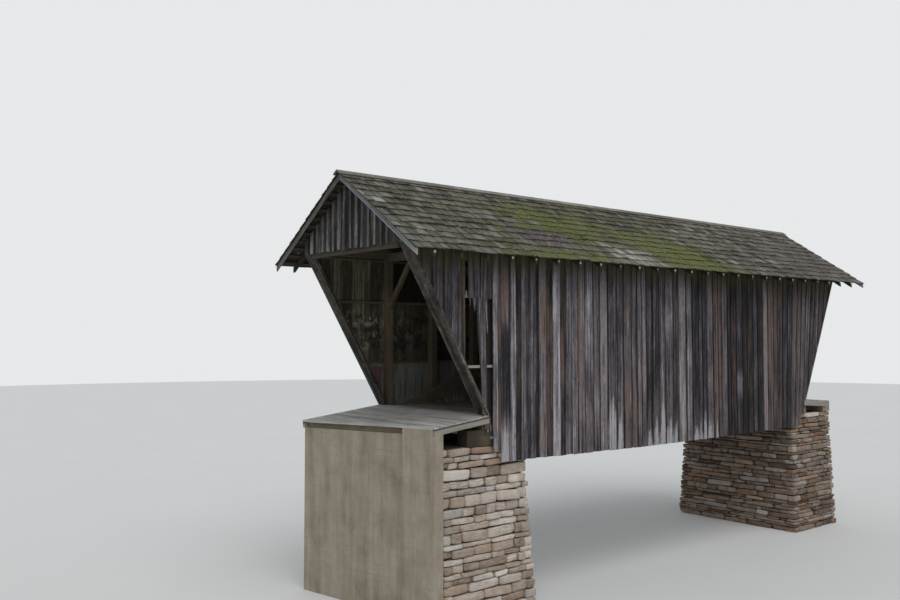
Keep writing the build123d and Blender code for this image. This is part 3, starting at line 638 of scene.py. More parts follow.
# Bleached feet on the seen wall: from and to along it, and how high the bleaching reaches
SEEN_BLEACHED = [
    (1.91, 2, -0.4), (2.1, 2.3, -0.42), (5.2, 5.46, -0.02), (5.5, 5.7, -0.36), (6.52, 6.7, -0.6),
    (6.71, 6.94, -0.52), (6.96, 7.16, -0.16), (7.19, 7.45, -0.46), (7.48, 7.64, -0.55),
    (8.21, 8.43, -0.72), (8.46, 8.75, -0.58), (8.78, 9.01, -0.54), (9.05, 9.22, -0.78),
]


def foot_at(x):
    """Lower edge of the wall at X: slanting ends, short first boards and the sagging long foot."""
    near = DATUM + (NEAR_END - x) / NEAR_LEAN
    far = DATUM + (x - FAR_END) / FAR_LEAN
    sag = 0.055 * (1 - np.exp(-((x + 0.4) / 4.0) ** 2))
    straight = np.where(x < STEP - 0.02, FIRST_FOOT, SIDING_FOOT + sag)
    return np.where(x < NEAR_EDGE - 0.001, near, np.maximum(straight, far))


def lean_at(x):
    """Lean of the boards whose top is at X: nothing at mid-length, growing towards the far end."""
    return FULL_LEAN * np.clip((x - 3.4) / 4.0, 0, 1) ** 1.6


def wall_tints(rng, middle, recessed, seen):
    """A function of u and height that gives tone, warmth and bleaching at the boards' points."""
    count = len(middle)
    tone = 0.42 + 0.12 * np.exp(-((middle + 4.4) / 2.4) ** 2) + rng.normal(0, 0.09, count)
    tone = tone - 0.04 * np.clip((middle - 1.0) / 2.0, 0, 1)
    warm = np.clip(rng.normal(0.08, 0.22, count), 0, 0.7)
    flame = np.full(count, -2.0)
    if seen:
        for x0, x1, reach in SEEN_BLEACHED:
            flame = np.where((middle > SEEN_ZERO + x0) & (middle < SEEN_ZERO + x1), reach, flame)
    else:
        chosen = rng.uniform(0, 1, count) < 0.16
        flame = np.where(chosen, rng.uniform(-0.8, -0.2, count), flame)
        tone = tone + rng.normal(0, 0.08, count)
    flame = np.where(recessed, flame - 0.25, flame)
    values = (middle, tone, warm, flame, recessed)
    x, tone, warm, flame, recessed = (value[:, None, None] for value in values)

    def tints(u, s):
        level, hue = tone + 0 * s, warm + 0 * s
        z = s - DATUM
        for x0, x1, z0, z1, more_tone, more_warm in SEEN_MARKS if seen else ():
            inside = (x > SEEN_ZERO + x0) & (x < SEEN_ZERO + x1)
            above = np.clip((z - z0) / MARK_FADE + 0.5, 0, 1)
            share = above * np.clip((z1 - z) / MARK_FADE + 0.5, 0, 1) * inside
            level += more_tone * share
            hue += 0.8 * more_warm * share
        # painted shade: the inner boards in the recesses behind the joints are darker
        level = level - 0.27 * recessed
        bleach = (flame + DATUM - s) / 0.40 + 0.7 - 0.8 * u ** 2
        return np.stack([level, np.clip(hue, 0, 1), np.clip(bleach, -1, 1)], axis=-1)

    return tints


def wall_boards(side, covers, seed, seen):
    """Inner boards behind the joints of the cover boards, and the cover boards themselves.

    An edge that is at x on top runs down at x minus its lean times the depth below the top, and ends
    where it meets the foot line, so the boards fan out towards the far end.
    """
    rng = np.random.default_rng(seed)
    joints = (covers[:-1, 1] + covers[1:, 0]) / 2
    edges = np.concatenate([[WALL_START], (joints[:-1] + joints[1:]) / 2, [WALL_STOP]])
    inner = np.stack([edges[:-1] + 0.001, edges[1:] - 0.001], axis=1)
    spans = np.concatenate([inner, covers])
    recessed = np.arange(len(spans)) < len(inner)
    middle, wide = spans.mean(axis=1), np.diff(spans, axis=1)[:, 0] / 2
    count = len(middle)
    lean = lean_at(middle)
    fan = lean[:, None]
    order = spans[:, ::-1] if side == RIGHT else spans
    cut = np.where(order < NEAR_EDGE, foot_at(order), SIDING_FOOT)
    slanted = (order - fan * WALL_TOP - FAR_END + FAR_LEAN * DATUM) / (FAR_LEAN - fan)
    straight = np.clip(middle, NEAR_EDGE + 0.001, 5.3)
    level = foot_at(straight) + rng.uniform(-0.008, 0.012, count)
    level = np.maximum(level, np.where(middle < STEP - 0.02, FIRST_FOOT, SIDING_FOOT))[:, None]
    low = np.maximum(np.where(middle[:, None] < NEAR_EDGE, cut, level), slanted)
    low = np.minimum(low, WALL_TOP - 0.015)
    if seen:
        missing = (middle > GAP_LEFT) & (middle < NEAR_EDGE)
        low = np.where(missing[:, None], GAP_TOP + rng.uniform(-0.04, 0.03, low.shape), low)
        slit = recessed & (np.abs(middle - (SEEN_ZERO + 1.26)) < 0.10)
        low = np.where(slit[:, None], WALL_TOP - 0.35, low)
    high = WALL_TOP - rng.uniform(0, 0.01, count)
    foot_half = wide * (1 - 0.055 * lean / FULL_LEAN * (WALL_TOP - low.mean(axis=1)))
    face = np.where(recessed, SIDING_IN, SIDING_OUT)
    base = np.stack([middle - lean * WALL_TOP, side * face, 0 * middle], axis=1)
    along = np.stack([lean, 0 * lean, 1 + 0 * lean], axis=1)
    loose = np.where(recessed, 0.0, rng.uniform(0, 0.004, count))
    return boards(
        rng, base, along, (0, side, 0), np.stack([foot_half, wide], axis=1), low, high,
        np.where(recessed, 0.0245, 0.0175), lift=np.stack([loose, 0 * loose], axis=1),
        rough=0.008, tint=wall_tints(rng, middle, recessed, seen), steps=19, across=(side, 0, 0),
    )


def even_covers(seed):
    """Edges of cover boards at a plain spacing with small differences, for the unseen wall."""
    rng = np.random.default_rng(seed)
    middle = np.arange(-7.36, 7.35, 0.24)
    middle = middle + rng.uniform(-0.012, 0.012, len(middle))
    half = rng.uniform(0.074, 0.096, len(middle))
    return np.stack([middle - half, middle + half], axis=1)


def splinters(seed):
    """Torn remains beside the near portal: a split board that hangs on, its slivers, a rotten foot.

    Each is given by its X at foot and head from SEEN_ZERO, its half widths there, its foot and head
    above the floor datum, its tone and its warmth; a half width near nothing makes a point.
    """
    rng = np.random.default_rng(seed)
    made = np.array([
        (1.70, 1.665, 0.048, 0.072, -0.02, 3.20, 0.46, 0.00),
        (1.625, 1.545, 0.004, 0.045, 0.80, 2.20, 0.36, 0.10),
        (1.59, 1.59, 0.014, 0.024, 1.45, 2.18, 0.66, 0.00),
        (1.79, 1.745, 0.003, 0.030, 1.50, 2.17, 0.42, 0.15),
        (1.765, 1.74, 0.016, 0.020, -0.30, 1.10, 0.42, 0.30),
        (1.268, 1.262, 0.006, 0.012, 2.19, 2.31, 0.66, 0.00),
        (1.36, 1.345, 0.003, 0.030, 2.02, 2.30, 0.42, 0.10),
        (1.475, 1.455, 0.003, 0.040, 1.92, 2.30, 0.50, 0.20),
        (1.80, 1.78, 0.026, 0.012, -0.36, 0.02, 0.60, 0.90),
        (1.86, 1.84, 0.020, 0.008, -0.34, -0.04, 0.55, 0.80),
        (1.75, 1.72, 0.016, 0.022, -0.30, 0.10, 0.70, 0.50),
    ])
    foot, head, half_foot, half_head, z0, z1, tone, warm = made.T
    lean = (head - foot) / (z1 - z0)
    at_zero = SEEN_ZERO + foot - lean * (z0 + DATUM)
    base = np.stack([at_zero, np.full_like(foot, -SIDING_IN), 0 * foot], axis=1)
    return boards(
        rng, base, np.stack([lean, 0 * lean, 1 + 0 * lean], axis=1), (0, -1, 0),
        np.stack([half_foot, half_head], axis=1), z0 + DATUM,
        np.minimum(z1 + DATUM, WALL_TOP - 0.01), 0.019,
        lift=rng.uniform(0.002, 0.004, (len(foot), 2)), rough=0.03, edge=0.004, ease=0.002,
        tint=np.stack([tone, warm, 0 * tone], axis=1), steps=13, across=(-1, 0, 0),
    )


right_wall = together(wall_boards(RIGHT, SEEN_COVERS, 11, True), splinters(13))
left_wall = wall_boards(LEFT, even_covers(5), 12, False)
for (word, side), wall in zip(SIDES, (right_wall, left_wall)):
    lay(f"wall_boarding_{word}", wall, [siding_finish, inner_finish], "weathered_siding",
        [f"siding_{word}", f"cover_boards_{word}"])


SHELTER_THICK, SHELTER_MIDDLE, SHELTER_HALF, SHELTER_TOP = 0.055, 1.652, 0.149, 6.848


def shelter_boards(outward, seed):
    """The wide boards on the slanting wall ends: X moves outwards with height by the lean."""
    rng = np.random.default_rng(seed)
    end, lean = (NEAR_END, NEAR_LEAN) if outward < 0 else (FAR_END, FAR_LEAN)
    run = SHELTER_THICK * (1 + lean ** 2) ** 0.5
    foot = (FLOOR_TOP if outward < 0 else FAR_TOP) - 0.004
    start = end - outward * lean * DATUM
    base = np.array([(start, side * SHELTER_MIDDLE, 0.0) for side in (LEFT, RIGHT)])
    tone = rng.uniform(0.30, 0.36, 2)
    # painted light: the far boards are lighter towards their foot
    lit_foot = 0.35 if outward > 0 else 0.0

    def tints(u, s):
        level = tone[:, None, None] + 0.18 * (np.abs(u) > 0.93)
        level = level + lit_foot * np.clip((5.6 - s) / 0.8, 0, 1)
        return np.stack([level, 0.15 + 0 * s, 0 * s - 1], axis=-1)

    return boards(
        rng, base, (outward * lean, 0, 1), (outward, 0, 0), SHELTER_HALF, foot, SHELTER_TOP,
        run - 0.002, edge=0.001, ease=0.006, tint=tints, steps=15,
    )


for seed, (word, outward) in enumerate(ENDS, 21):
    lay(f"{word}_shelter_boarding", shelter_boards(outward, seed), [shelter_finish],
        "shelter_timber", [f"{word}_shelter_boards"])


# roof


def growth(x, rise):
    """Moss, bare grey wood and fallen leaves on the roof, each a sum of soft bells.

    x is counted along the roof from SEEN_ZERO, and rise up the slope from the eave. A bell is
    e to the power of minus the squares of both distances from its middle over its reaches.
    """
    def bell(x0, length, rise0=0.0, height=np.inf):
        return np.exp(-((x - x0) / length) ** 2 - ((rise - rise0) / height) ** 2)

    moss = 0.74 * bell(7.7, 1.1, 0.0, 1.2) + 0.62 * bell(3.7, 1.7, 0.0, 0.6)
    moss += 0.66 * bell(4.0, 1.4, 1.6, 0.9)
    moss += 0.45 * bell(6.6, 2.0) * np.clip(1.3 - rise / 2.6, 0, 1)
    moss += 0.20 * np.clip((11 - x) / 2, 0, 1)
    grey = bell(5.6, 0.95, 0.35, 0.45) + 0.15 * bell(0.2, 0.7, 0.5, 0.6)
    leaves = 1.3 * bell(3.5, 0.75, 0.85, 0.48) + 0.45 * np.clip((x - 11.2) / 1.5, 0, 1)
    return moss - grey - 0.5 * leaves, grey, leaves


def roof_courses(side, seed):
    """Shingles laid in courses: each is a wedge, thin at its head and thick at its butt.

    The butt line of a course wavers by two slow sines along X, and each butt is a little off it. A
    thin board under them all closes the joints between neighbours.
    """
    rng = np.random.default_rng(seed)
    down = np.array([0, side * cos(PITCH), -sin(PITCH)])
    up = np.array([0, side * sin(PITCH), cos(PITCH)])
    span, course = [], []
    for row in range(COURSES):
        places = ROOF_START - rng.uniform(0, 0.3) + np.cumsum(rng.uniform(0.09, 0.30, 110))
        kept = places[(places > ROOF_START + 0.07) & (places < ROOF_END - 0.07)]
        edges = np.concatenate([[ROOF_START], kept, [ROOF_END]])
        joint = rng.uniform(0.002, 0.006, len(edges))
        joint[[0, -1]] = 0.001
        span.append(np.stack([edges[:-1] + joint[:-1], edges[1:] - joint[1:]], axis=1))
        course.append(np.full(len(edges) - 1, row))
    span, course = np.concatenate(span), np.concatenate(course)
    count = len(course)
    middle, half = span.mean(axis=1), np.diff(span, axis=1)[:, 0] / 2
    base = np.stack([middle, 0 * middle, np.full(count, RIDGE)], axis=1)
    last = course == COURSES - 1
    slow = 0.016 * np.sin(1.3 * middle + 2.0 * course) + 0.011 * np.sin(3.1 * middle + 4.4 * course)
    butt = (course + 1) * EXPOSURE + np.where(last, -0.010, slow + 0.008)
    butt = butt - rng.uniform(0, 0.046, count)
    low = np.maximum(course * EXPOSURE - 0.09, 0.004)
    tilt = rng.uniform(-0.012, 0.012, (count, 2))
    high = np.minimum(butt[:, None] + tilt, SLOPE - 0.001)
    lift = np.stack([np.full(count, 0.001), 0.0115 + rng.uniform(-0.002, 0.004, count)], axis=1)
    thick = np.stack([np.full(count, 0.006), rng.uniform(0.014, 0.0245, count)], axis=1)
    thick[:, 1] = np.minimum(thick[:, 1], 0.0395 - lift[:, 1])
    dirt = rng.normal(0, 0.10, (2, count, 1, 1))
    far_tone = 0.05 * np.clip((middle - SEEN_ZERO - 11.0) / 2.0, 0, 1)
    tone = 0.43 + rng.normal(0, 0.12, count) + far_tone
    shares = np.array([0.0, 0.20, 0.31, 0.48, 0.86, 1.0])
    shadow = np.array([-0.42, -0.36, -0.07, 0.02, 0.06, 0.10])

    def tints(u, s):
        x = middle[:, None, None] + u * half[:, None, None]
        if side == RIGHT:
            moss, grey, leaves = growth(x - SEEN_ZERO, SLOPE - s)
        else:
            moss, grey, _ = growth(0.4 - x - SEEN_ZERO, (SLOPE - s) * 1.2)
            leaves = 0 * s
        level = tone[:, None, None] + 0.30 * grey + shadow[None, :, None]
        level = level - 0.12 * (np.abs(u) > 0.9)
        return np.stack([level, np.clip(leaves + dirt[0], 0, 1), moss + dirt[1]], axis=-1)

    shingles = boards(
        rng, base, down, up, half, low, high, thick, lift,
        rough=0.012, edge=0.0, ease=0.0025, tint=tints, steps=shares,
    )
    under = boards(
        rng, [[0, 0, RIDGE]], down, up, (ROOF_END - ROOF_START) / 2 - 0.003, 0.004, SLOPE - 0.04,
        0.0006, lift=0.0002, edge=0.0, ease=0.0002, tint=(0.05, 0.0, -1.0), steps=2,
    )
    return together(shingles, under)


def ridge_boards(seed):
    """Cap boards along both sides of the ridge, butted end to end and run past the roof's ends."""
    rng = np.random.default_rng(seed)
    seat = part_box("ridge_cap")[1].z - RIDGE
    cuts = np.array([ROOF_START - 0.039, -5.1, -2.4, 0.5, 3.3, 5.6, ROOF_END + 0.039])
    count = len(cuts) - 1
    groups = []
    for side in (LEFT, RIGHT):
        up = np.array([0, side * sin(PITCH), cos(PITCH)])
        down = np.array([0, side * cos(PITCH), -sin(PITCH)])
        base = np.array([0, 0, RIDGE + seat]) + down * 0.0745 - up * 0.0235
        lift = 0.002 * rng.uniform(0, 1, (count, 2))
        tints = [rng.uniform(*limits, count) for limits in ((0.55, 0.75), (0, 0.2), (-0.2, 0.1))]
        groups.append(boards(
            rng, rows(base, count, 3), (1, 0, 0), up, 0.0725, cuts[:-1] + 0.002, cuts[1:] - 0.002,
            0.019, lift, rough=0.004, tint=np.stack(tints, axis=1),
        ))
    return together(*groups)


def rake_boards(outward, seed):
    """Boards down both roof edges at one end, with plumb ends.

    At a depth d square below the roof line, a plumb cut at Y lies (Y + d * sin pitch) / cos pitch
    down it.
    """
    rng = np.random.default_rng(seed)
    inner_face = (ROOF_START + 0.055) if outward < 0 else (ROOF_END - 0.055)
    wide = 0.100
    groups = []
    for side in (LEFT, RIGHT):
        depth = wide / 2 * (1 + np.array([-1, 1]) * -outward * side)
        base = [[inner_face, -side * sin(PITCH) * wide / 2, RIDGE - cos(PITCH) * wide / 2]]
        low = (0.001 + depth * sin(PITCH)) / cos(PITCH)
        high = (2.449 + depth * sin(PITCH)) / cos(PITCH)

        # painted shade: the left rake boards are made dark and browner than the right ones
        tone, brown = (0.42, 0.1) if side == RIGHT else (0.02, 0.5)

        def tints(u, s):
            lower = u * -outward * side
            level = tone + 0.24 * (lower > 0.9) + 0.14 * np.clip((s - 2.3) / 0.6, 0, 1)
            return np.stack([level, brown + 0 * s, 0 * s - 1], axis=-1)

        groups.append(boards(
            rng, base, (0, side * cos(PITCH), -sin(PITCH)), (outward, 0, 0), wide / 2 - 0.0005,
            low[None], high[None], 0.0235, edge=0.001, ease=0.004, tint=tints, steps=11,
        ))
    return together(*groups)


for word, side in SIDES:
    lay(f"shingles_{word}", roof_courses(side, 30 + side), [shingles_finish], "mossy_shingles",
        [f"roof_shingles_{word}"])
lay("ridge_boards", ridge_boards(41), [shingles_finish], "mossy_shingles", ["ridge_cap"])
for seed, (word, outward) in enumerate(ENDS, 42):
    lay(f"{word}_rake_boarding", rake_boards(outward, seed), [trim_finish], "blue_grey_trim",
        [f"{word}_rake_boards"])


# gables

GABLE_FOOT, GABLE_HALF = 6.81, 1.75
STRIPS, STRIP_SPACING = 17, 0.205


def gable_top(y):
    """Top edge of a gable board at Y, under the laths."""
    return RIDGE - 0.025 / cos(PITCH) - np.abs(y) * RISE - 0.004


def gable(face, outward, seed):
    """Upright boards and the strips over their joints, cut to the roof's slope with uneven feet."""
    rng = np.random.default_rng(seed)
    strips = (np.arange(STRIPS) - 8) * STRIP_SPACING
    edges = np.concatenate([[-GABLE_HALF], strips, [GABLE_HALF]])
    groups = []
    for middle, half, start, depth in (
        ((edges[:-1] + edges[1:]) / 2, np.diff(edges) / 2 - 0.001, -0.025, 0.0245),
        (strips, rng.uniform(0.030, 0.043, STRIPS), 0.0, 0.019),
    ):
        ends = np.stack([middle + outward * half, middle - outward * half], axis=1)
        count = len(middle)
        low = GABLE_FOOT + rng.uniform(0, 0.035, count)
        base = np.stack([np.full(count, face + outward * start), middle, 0 * middle], axis=1)
        tone = (0.55 if start == 0 else 0.22) + rng.normal(0, 0.08, count)
        groups.append(boards(
            rng, base, (0, 0, 1), (outward, 0, 0), half, low, gable_top(ends), depth, rough=0.008,
            tint=mild_tints(rng, tone), steps=6,
        ))
    return together(*groups)


for seed, (word, outward), face in zip((51, 52), ENDS, (NEAR_GABLE, FAR_GABLE)):
    lay(f"{word}_gable_boarding", gable(face, outward, seed), [gable_finish], "weathered_siding",
        [f"{word}_gable_boards"])


# decks


PLANK_WIDTHS, PLANK_JOINT = (0.135, 0.185), 0.006


def cross_planks(rng, start, stop, origin, down, up, thick, half, tones, end_at=None):
    """Planks laid across a deck, side by side from start to stop along its run.

    end_at gives where a skewed end cuts the planks, from the run of their two edges; what is left
    under 5 cm long is dropped.
    """
    widths = rng.uniform(*PLANK_WIDTHS, 120)
    edges = start + np.concatenate([[0.0], np.cumsum(widths)])
    edges = np.append(edges[edges < stop - 0.09], stop)
    run = np.stack([edges[:-1] + PLANK_JOINT / 2, edges[1:] - PLANK_JOINT / 2], axis=1)
    middle = run.mean(axis=1)
    count = len(middle)
    low = np.full((count, 2), -half)
    if end_at is not None:
        low = np.maximum(low, end_at(run))
    kept = low.min(axis=1) < half - 0.05
    base = np.asarray(origin) + middle[:, None] * np.asarray(down)
    tone = tones + rng.normal(0, 0.07, count)
    return boards(
        rng, base[kept], (0, 1, 0), up, (run[:, 1] - run[:, 0])[kept] / 2, low[kept], half,
        thick - 0.002, lift=-thick, cup=rng.uniform(-0.001, 0.001, kept.sum()), rough=0.006,
        edge=0.001, tint=mild_tints(rng, tone)[kept],
    )


def near_deck(seed):
    """Cross planks of the near approach, ended by a border board along the skewed bank edge."""
    rng = np.random.default_rng(seed)
    turn = atan(NEAR_SLOPE)
    down, up = (-cos(turn), 0, -sin(turn)), (-sin(turn), 0, cos(turn))
    border = 0.11

    def end_at(run):
        return (NEAR_BANK + border + PLANK_JOINT - (NEAR_RAMP - run * cos(turn))) / SKEW

    planks = cross_planks(
        rng, 0.0, 2.1, (NEAR_RAMP, 0, FLOOR_TOP), down, up, DECK_THICK, DECK_HALF, 0.55, end_at
    )
    corners = np.array([(NEAR_BANK - y * SKEW + border / 2, y) for y in (-DECK_HALF, DECK_HALF)])
    level = FLOOR_TOP - (NEAR_RAMP - corners[:, 0]) * NEAR_SLOPE
    ends = np.column_stack([corners, level])
    reach = np.linalg.norm(ends[1] - ends[0])
    along = (ends[1] - ends[0]) / reach
    slant = border / 2 * SKEW
    edge = boards(
        rng, ends[:1], along, up, border / 2 * cos(atan(SKEW)), [[-slant, slant]],
        [[reach - slant, reach + slant]], DECK_THICK - 0.002, lift=-DECK_THICK,
        tint=(0.75, 0.0, 0.0), rough=0.003, edge=0.001,
    )
    return together(planks, edge)


def far_deck(seed):
    """Cross planks of the far approach; the first starts under the floor's end, against daylight."""
    turn = FAR_TURN
    return cross_planks(
        np.random.default_rng(seed), -0.08, FAR_RUN, (FAR_RAMP, 0, FAR_TOP),
        (cos(turn), 0, -sin(turn)), (sin(turn), 0, cos(turn)), DECK_THICK, DECK_HALF, 0.5,
    )


def inner_floor(seed):
    """Cross planks of the level floor between the walls."""
    return cross_planks(
        np.random.default_rng(seed), -5.600, 5.790, (0, 0, FLOOR_TOP), (1, 0, 0), (0, 0, 1),
        FLOOR_THICK, FLOOR_HALF, 0.45,
    )


lay("near_deck_planks", near_deck(61), [deck_finish], "grey_planks", ["near_approach_planks"])
lay("far_deck_planks", far_deck(62), [deck_finish], "grey_planks", ["far_approach_planks"])
lay("floor_boarding", inner_floor(63), [floor_finish], "grey_planks", ["floor_planks"])


# stone


def stone_shape():
    """A cube's surface of 56 points drawn onto a rounded block.

    Each point p of the cube is divided by the eighth root of |x|^8 + |y|^8 + |z|^8, times 1.06.
    """
    steps = np.array([-1.0, -0.62, 0.62, 1.0])
    grid = np.stack(np.meshgrid(steps, steps, steps, indexing="ij"), axis=-1).reshape(-1, 3)
    index = np.arange(64).reshape(4, 4, 4)
    faces = []
    for axis in range(3):
        for layer, turn in ((0, 1), (3, -1)):
            sheet = np.take(index, layer, axis=axis)
            flip = turn if axis != 1 else -turn
            quads = [sheet[:-1, :-1], sheet[:-1, 1:], sheet[1:, 1:], sheet[1:, :-1]]
            quads = np.stack(quads, axis=-1).reshape(-1, 4)
            faces.append(quads if flip > 0 else quads[:, ::-1])
    faces = np.concatenate(faces)
    used = np.unique(faces)
    renumber = np.zeros(64, int)
    renumber[used] = np.arange(len(used))
    shell = grid[used]
    length = (np.abs(shell) ** 8).sum(axis=1, keepdims=True) ** (1 / 8)
    return shell / length * 1.06, renumber[faces]


def stones(name, foot, top, node, tones, beds, lengths, seed):
    """Courses of flat stones round a battered block; foot and top are its corners, anticlockwise.

    Each stone is the rounded block scaled to its bed and moved by slow sines, so that no two are
    alike; beds and lengths are the least and greatest height and length of a stone.
    """
    rng = np.random.default_rng(seed)
    foot, top = np.array(foot, float), np.array(top, float)
    levels = np.concatenate([[0.0], np.cumsum(rng.uniform(*beds, 60))])
    levels = np.append(levels[levels < ABUTMENT_TOP - 0.06], ABUTMENT_TOP)
    centre, size, face_out, face_along = [], [], [], []
    for row, (z0, z1) in enumerate(zip(levels[:-1], levels[1:])):
        ring = foot + (top - foot) * z1 / ABUTMENT_TOP
        for edge in range(4):
            a, b = ring[edge], ring[(edge + 1) % 4]
            reach = np.linalg.norm(b - a)
            run = (b - a) / reach
            out = np.array([run[1], -run[0]])
            deep = 0.22
            start, stop = (0.0, reach) if (row + edge) % 2 else (deep - 0.01, reach - deep + 0.01)
            cuts = start + np.cumsum(rng.uniform(*lengths, 40))
            cuts = np.concatenate([[start], cuts[cuts < stop - 0.14], [stop]])
            wide = np.diff(cuts)
            inset = 0.055 * rng.uniform(0.0, 1.0, len(wide)) ** 2
            middle = a + run * ((cuts[:-1] + cuts[1:]) / 2)[:, None]
            middle = middle - out * (deep / 2 + inset)[:, None]
            centre.append(np.column_stack([middle, np.full(len(wide), (z0 + z1) / 2)]))
            tall = (z1 - z0) / 2 * rng.uniform(0.90, 1.0, len(wide)) - 0.003
            size.append(np.column_stack([wide / 2 - rng.uniform(0.003, 0.010, len(wide)),
                                         np.full(len(wide), deep / 2), tall]))
            face_along.append(np.tile([*run, 0], (len(wide), 1)))
            face_out.append(np.tile([*out, 0], (len(wide), 1)))
    centre, size, face_along, face_out = map(np.concatenate, (centre, size, face_along, face_out))
    shape, quads = stone_shape()
    count = len(centre)
    turn = rng.uniform(0, 2 * np.pi, (count, 3, 1))
    steep = rng.uniform(-1, 1, (count, 1)) * np.minimum(0.06, 0.22 * size[:, 2:] / size[:, :1])
    uneven = np.stack([
        np.sin(2.4 * shape[:, (k + 1) % 3] + turn[:, k])
        * np.cos(1.9 * shape[:, (k + 2) % 3] + 2 * turn[:, k])
        for k in range(3)
    ], axis=-1)
    hollow = np.abs(uneven)
    local = (shape[None] * (1 - 0.09 * hollow) + 0.06 * (uneven - hollow)) * size[:, None]
    size[:, 2:] -= np.abs(steep) * size[:, :1] * 0.4
    local = np.clip(local, -size[:, None], size[:, None])
    reach = size[:, 2:] * 1.10 + 0.002
    local[..., 2] = np.clip(local[..., 2] + steep * local[..., 0], -reach, reach)
    points = (
        centre[:, None]
        + local[..., :1] * face_along[:, None]
        + local[..., 1:2] * face_out[:, None]
        + local[..., 2:] * np.array([0, 0, 1.0])
    )
    points[..., 2] = np.clip(points[..., 2], 0.001, ABUTMENT_TOP)
    faces = (quads[None] + (np.arange(count) * len(shape))[:, None, None]).reshape(-1, 4)
    tint = np.stack([
        rng.normal(tones, 0.17, count), np.clip(rng.normal(0.20, 0.35, count), 0, 1),
        np.clip(rng.normal(0.0, 0.4, count), 0, 1),
    ], axis=1)
    grain = local + rng.uniform(0, 50, (count, 1, 3))
    inner = []
    for ring, z in ((foot, 0.004), (top, ABUTMENT_TOP - 0.002)):
        inner.append(np.column_stack([ring + (ring.mean(axis=0) - ring) * 0.07, np.full(4, z)]))
    core = np.concatenate(inner)
    n = count * len(shape)
    core_faces = [[3, 2, 1, 0], [4, 5, 6, 7]]
    core_faces += [[i, (i + 1) % 4, (i + 1) % 4 + 4, i + 4] for i in range(4)]
    all_faces = faces.tolist() + [[n + i for i in face] for face in core_faces]
    piece(
        name, np.concatenate([points.reshape(-1, 3), core]), all_faces, [stones_finish, mortar],
        "rubble_stone", [node], choice=[0] * len(faces) + [1] * 6, smooth=True,
        grain=np.concatenate([grain.reshape(-1, 3), core]),
        tint=np.concatenate([np.repeat(tint, len(shape), axis=0), np.zeros((8, 3))]),
    )


def near_corners(half, stream_face):
    """Corners of the near block at one level, with its skewed bank side behind the backwall."""
    left, right = (NEAR_BANK + side * half * SKEW + 0.21 for side in (-1, 1))
    return [(right, -half), (stream_face, -half), (stream_face, half), (left, half)]


def far_corners(half, stream_face, bank_face=7.265):
    """Corners of the far block at one level."""
    return [(stream_face, -half), (bank_face, -half), (bank_face, half), (stream_face, half)]


HALF_FOOT, HALF_TOP = 1.87, 1.70
stones("near_stonework", near_corners(HALF_FOOT, -4.43), near_corners(HALF_TOP, -4.60),
       "near_abutment", 0.78, (0.08, 0.23), (0.22, 0.75), 71)
stones("far_stonework", far_corners(HALF_FOOT, 5.095), far_corners(HALF_TOP, 5.265),
       "far_abutment", 0.36, (0.05, 0.16), (0.25, 0.95), 72)


# timbers that keep their solids


def both(*names):
    """Each name for the right side and for the left."""
    return [f"{name}_{word}" for name in names for word, side in SIDES]


KEPT = {
    chord_finish: both("bottom_chord"),
    joist_finish: ["near_approach_joists", "far_approach_joists"],
    timber_x: both("top_plate", "truss_braces") + ["straining_beams"],
    shaded_lath_finish: both("roof_laths") + ["ridge_board"],
    timber_y: ["near_bearer", "far_bearer", "floor_beams", "tie_beams", "near_rim_joist"],
    shaded_gable_timber: ["near_gable_frame", "far_gable_frame"],
    rail_finish: both("wall_rails"),
    timber_z: both("wall_posts") + ["queen_posts", "knee_braces"],
    rafter_finish: both("rafters"),
    concrete: ["near_backwall", "far_backwall"],
}
for finish, names in KEPT.items():
    for name in names:
        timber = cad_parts[name]
        timber.data.materials.clear()
        timber.data.materials.append(finish)
        weld = timber.modifiers.new("weld", "WELD")
        weld.merge_threshold = 0.0002
        ease = timber.modifiers.new("ease", "BEVEL")
        ease.width, ease.segments, ease.limit_method = 0.004, 1, "ANGLE"


# stage, light and camera


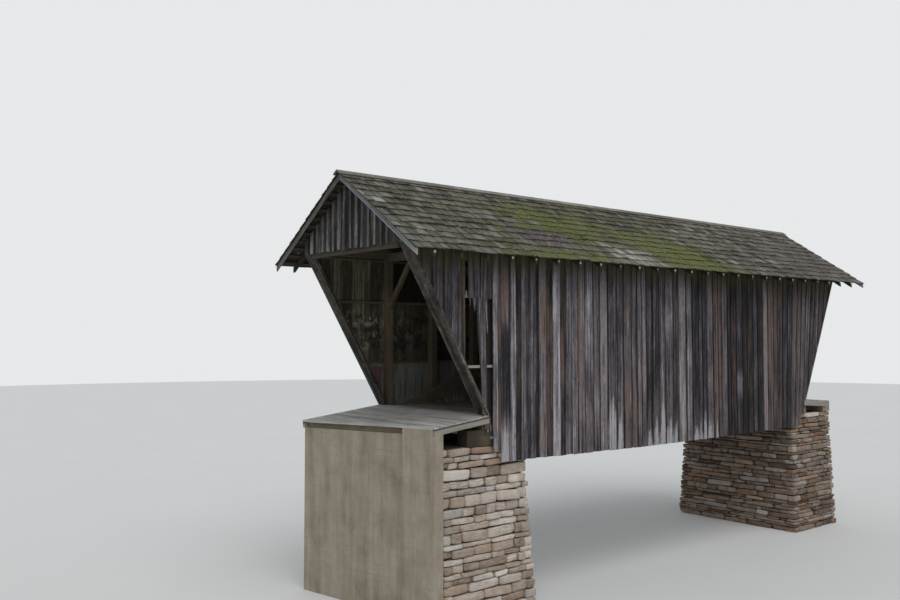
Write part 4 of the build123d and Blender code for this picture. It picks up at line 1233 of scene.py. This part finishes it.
def stage_floor(radius=90, corners=96):
    """Wide pale ground disc at the foot of the stonework."""
    angle = np.linspace(0, 2 * np.pi, corners + 1)[:-1]
    points = np.column_stack([radius * np.cos(angle), radius * np.sin(angle), 0 * angle])
    mesh = bpy.data.meshes.new("floor")
    mesh.from_pydata(points.tolist(), [], [list(range(corners))])
    floor = bpy.data.objects.new("floor", mesh)
    bpy.context.scene.collection.objects.link(floor)
    f = Finish("pale_floor")
    f.colour = f.mix(f.noise(f.place, 0.3), (0.62, 0.62, 0.61), (0.66, 0.66, 0.65))
    mesh.materials.append(f.wear(0.95))


def lamp(name, kind, strength, angle, turn):
    light = bpy.data.lights.new(name, kind)
    light.energy = strength
    light.angle = radians(angle)
    thing = bpy.data.objects.new(name, light)
    thing.rotation_euler = tuple(radians(a) for a in turn)
    bpy.context.scene.collection.objects.link(thing)


def sky():
    """Even soft light, with a pale background where the camera looks past the object."""
    world = bpy.data.worlds.new("soft_sky")
    bpy.context.scene.world = world
    world.use_nodes = True
    tree = world.node_tree
    tree.nodes.clear()
    path = tree.nodes.new("ShaderNodeLightPath")
    light, seen = tree.nodes.new("ShaderNodeBackground"), tree.nodes.new("ShaderNodeBackground")
    light.inputs["Color"].default_value = (0.93, 0.97, 1.0, 1.0)
    light.inputs["Strength"].default_value = 0.62
    seen.inputs["Color"].default_value = (0.80, 0.81, 0.82, 1.0)
    mix, end = tree.nodes.new("ShaderNodeMixShader"), tree.nodes.new("ShaderNodeOutputWorld")
    tree.links.new(path.outputs["Is Camera Ray"], mix.inputs[0])
    tree.links.new(light.outputs[0], mix.inputs[1])
    tree.links.new(seen.outputs[0], mix.inputs[2])
    tree.links.new(mix.outputs[0], end.inputs[0])


stage_floor()
lamp("soft_key", "SUN", 1.35, 50, (38, 0, -20))
sky()

camera = bpy.data.objects.new("camera", bpy.data.cameras.new("camera"))
camera.location = (-16.741, -14.232, 5.120)
camera.rotation_euler = (radians(92.49), 0, radians(-39.233))
camera.data.lens, camera.data.sensor_width = 35.25, 36.0
camera.data.clip_end = 500
bpy.context.scene.collection.objects.link(camera)
bpy.context.scene.camera = camera
bpy.context.scene.view_settings.view_transform = "Standard"
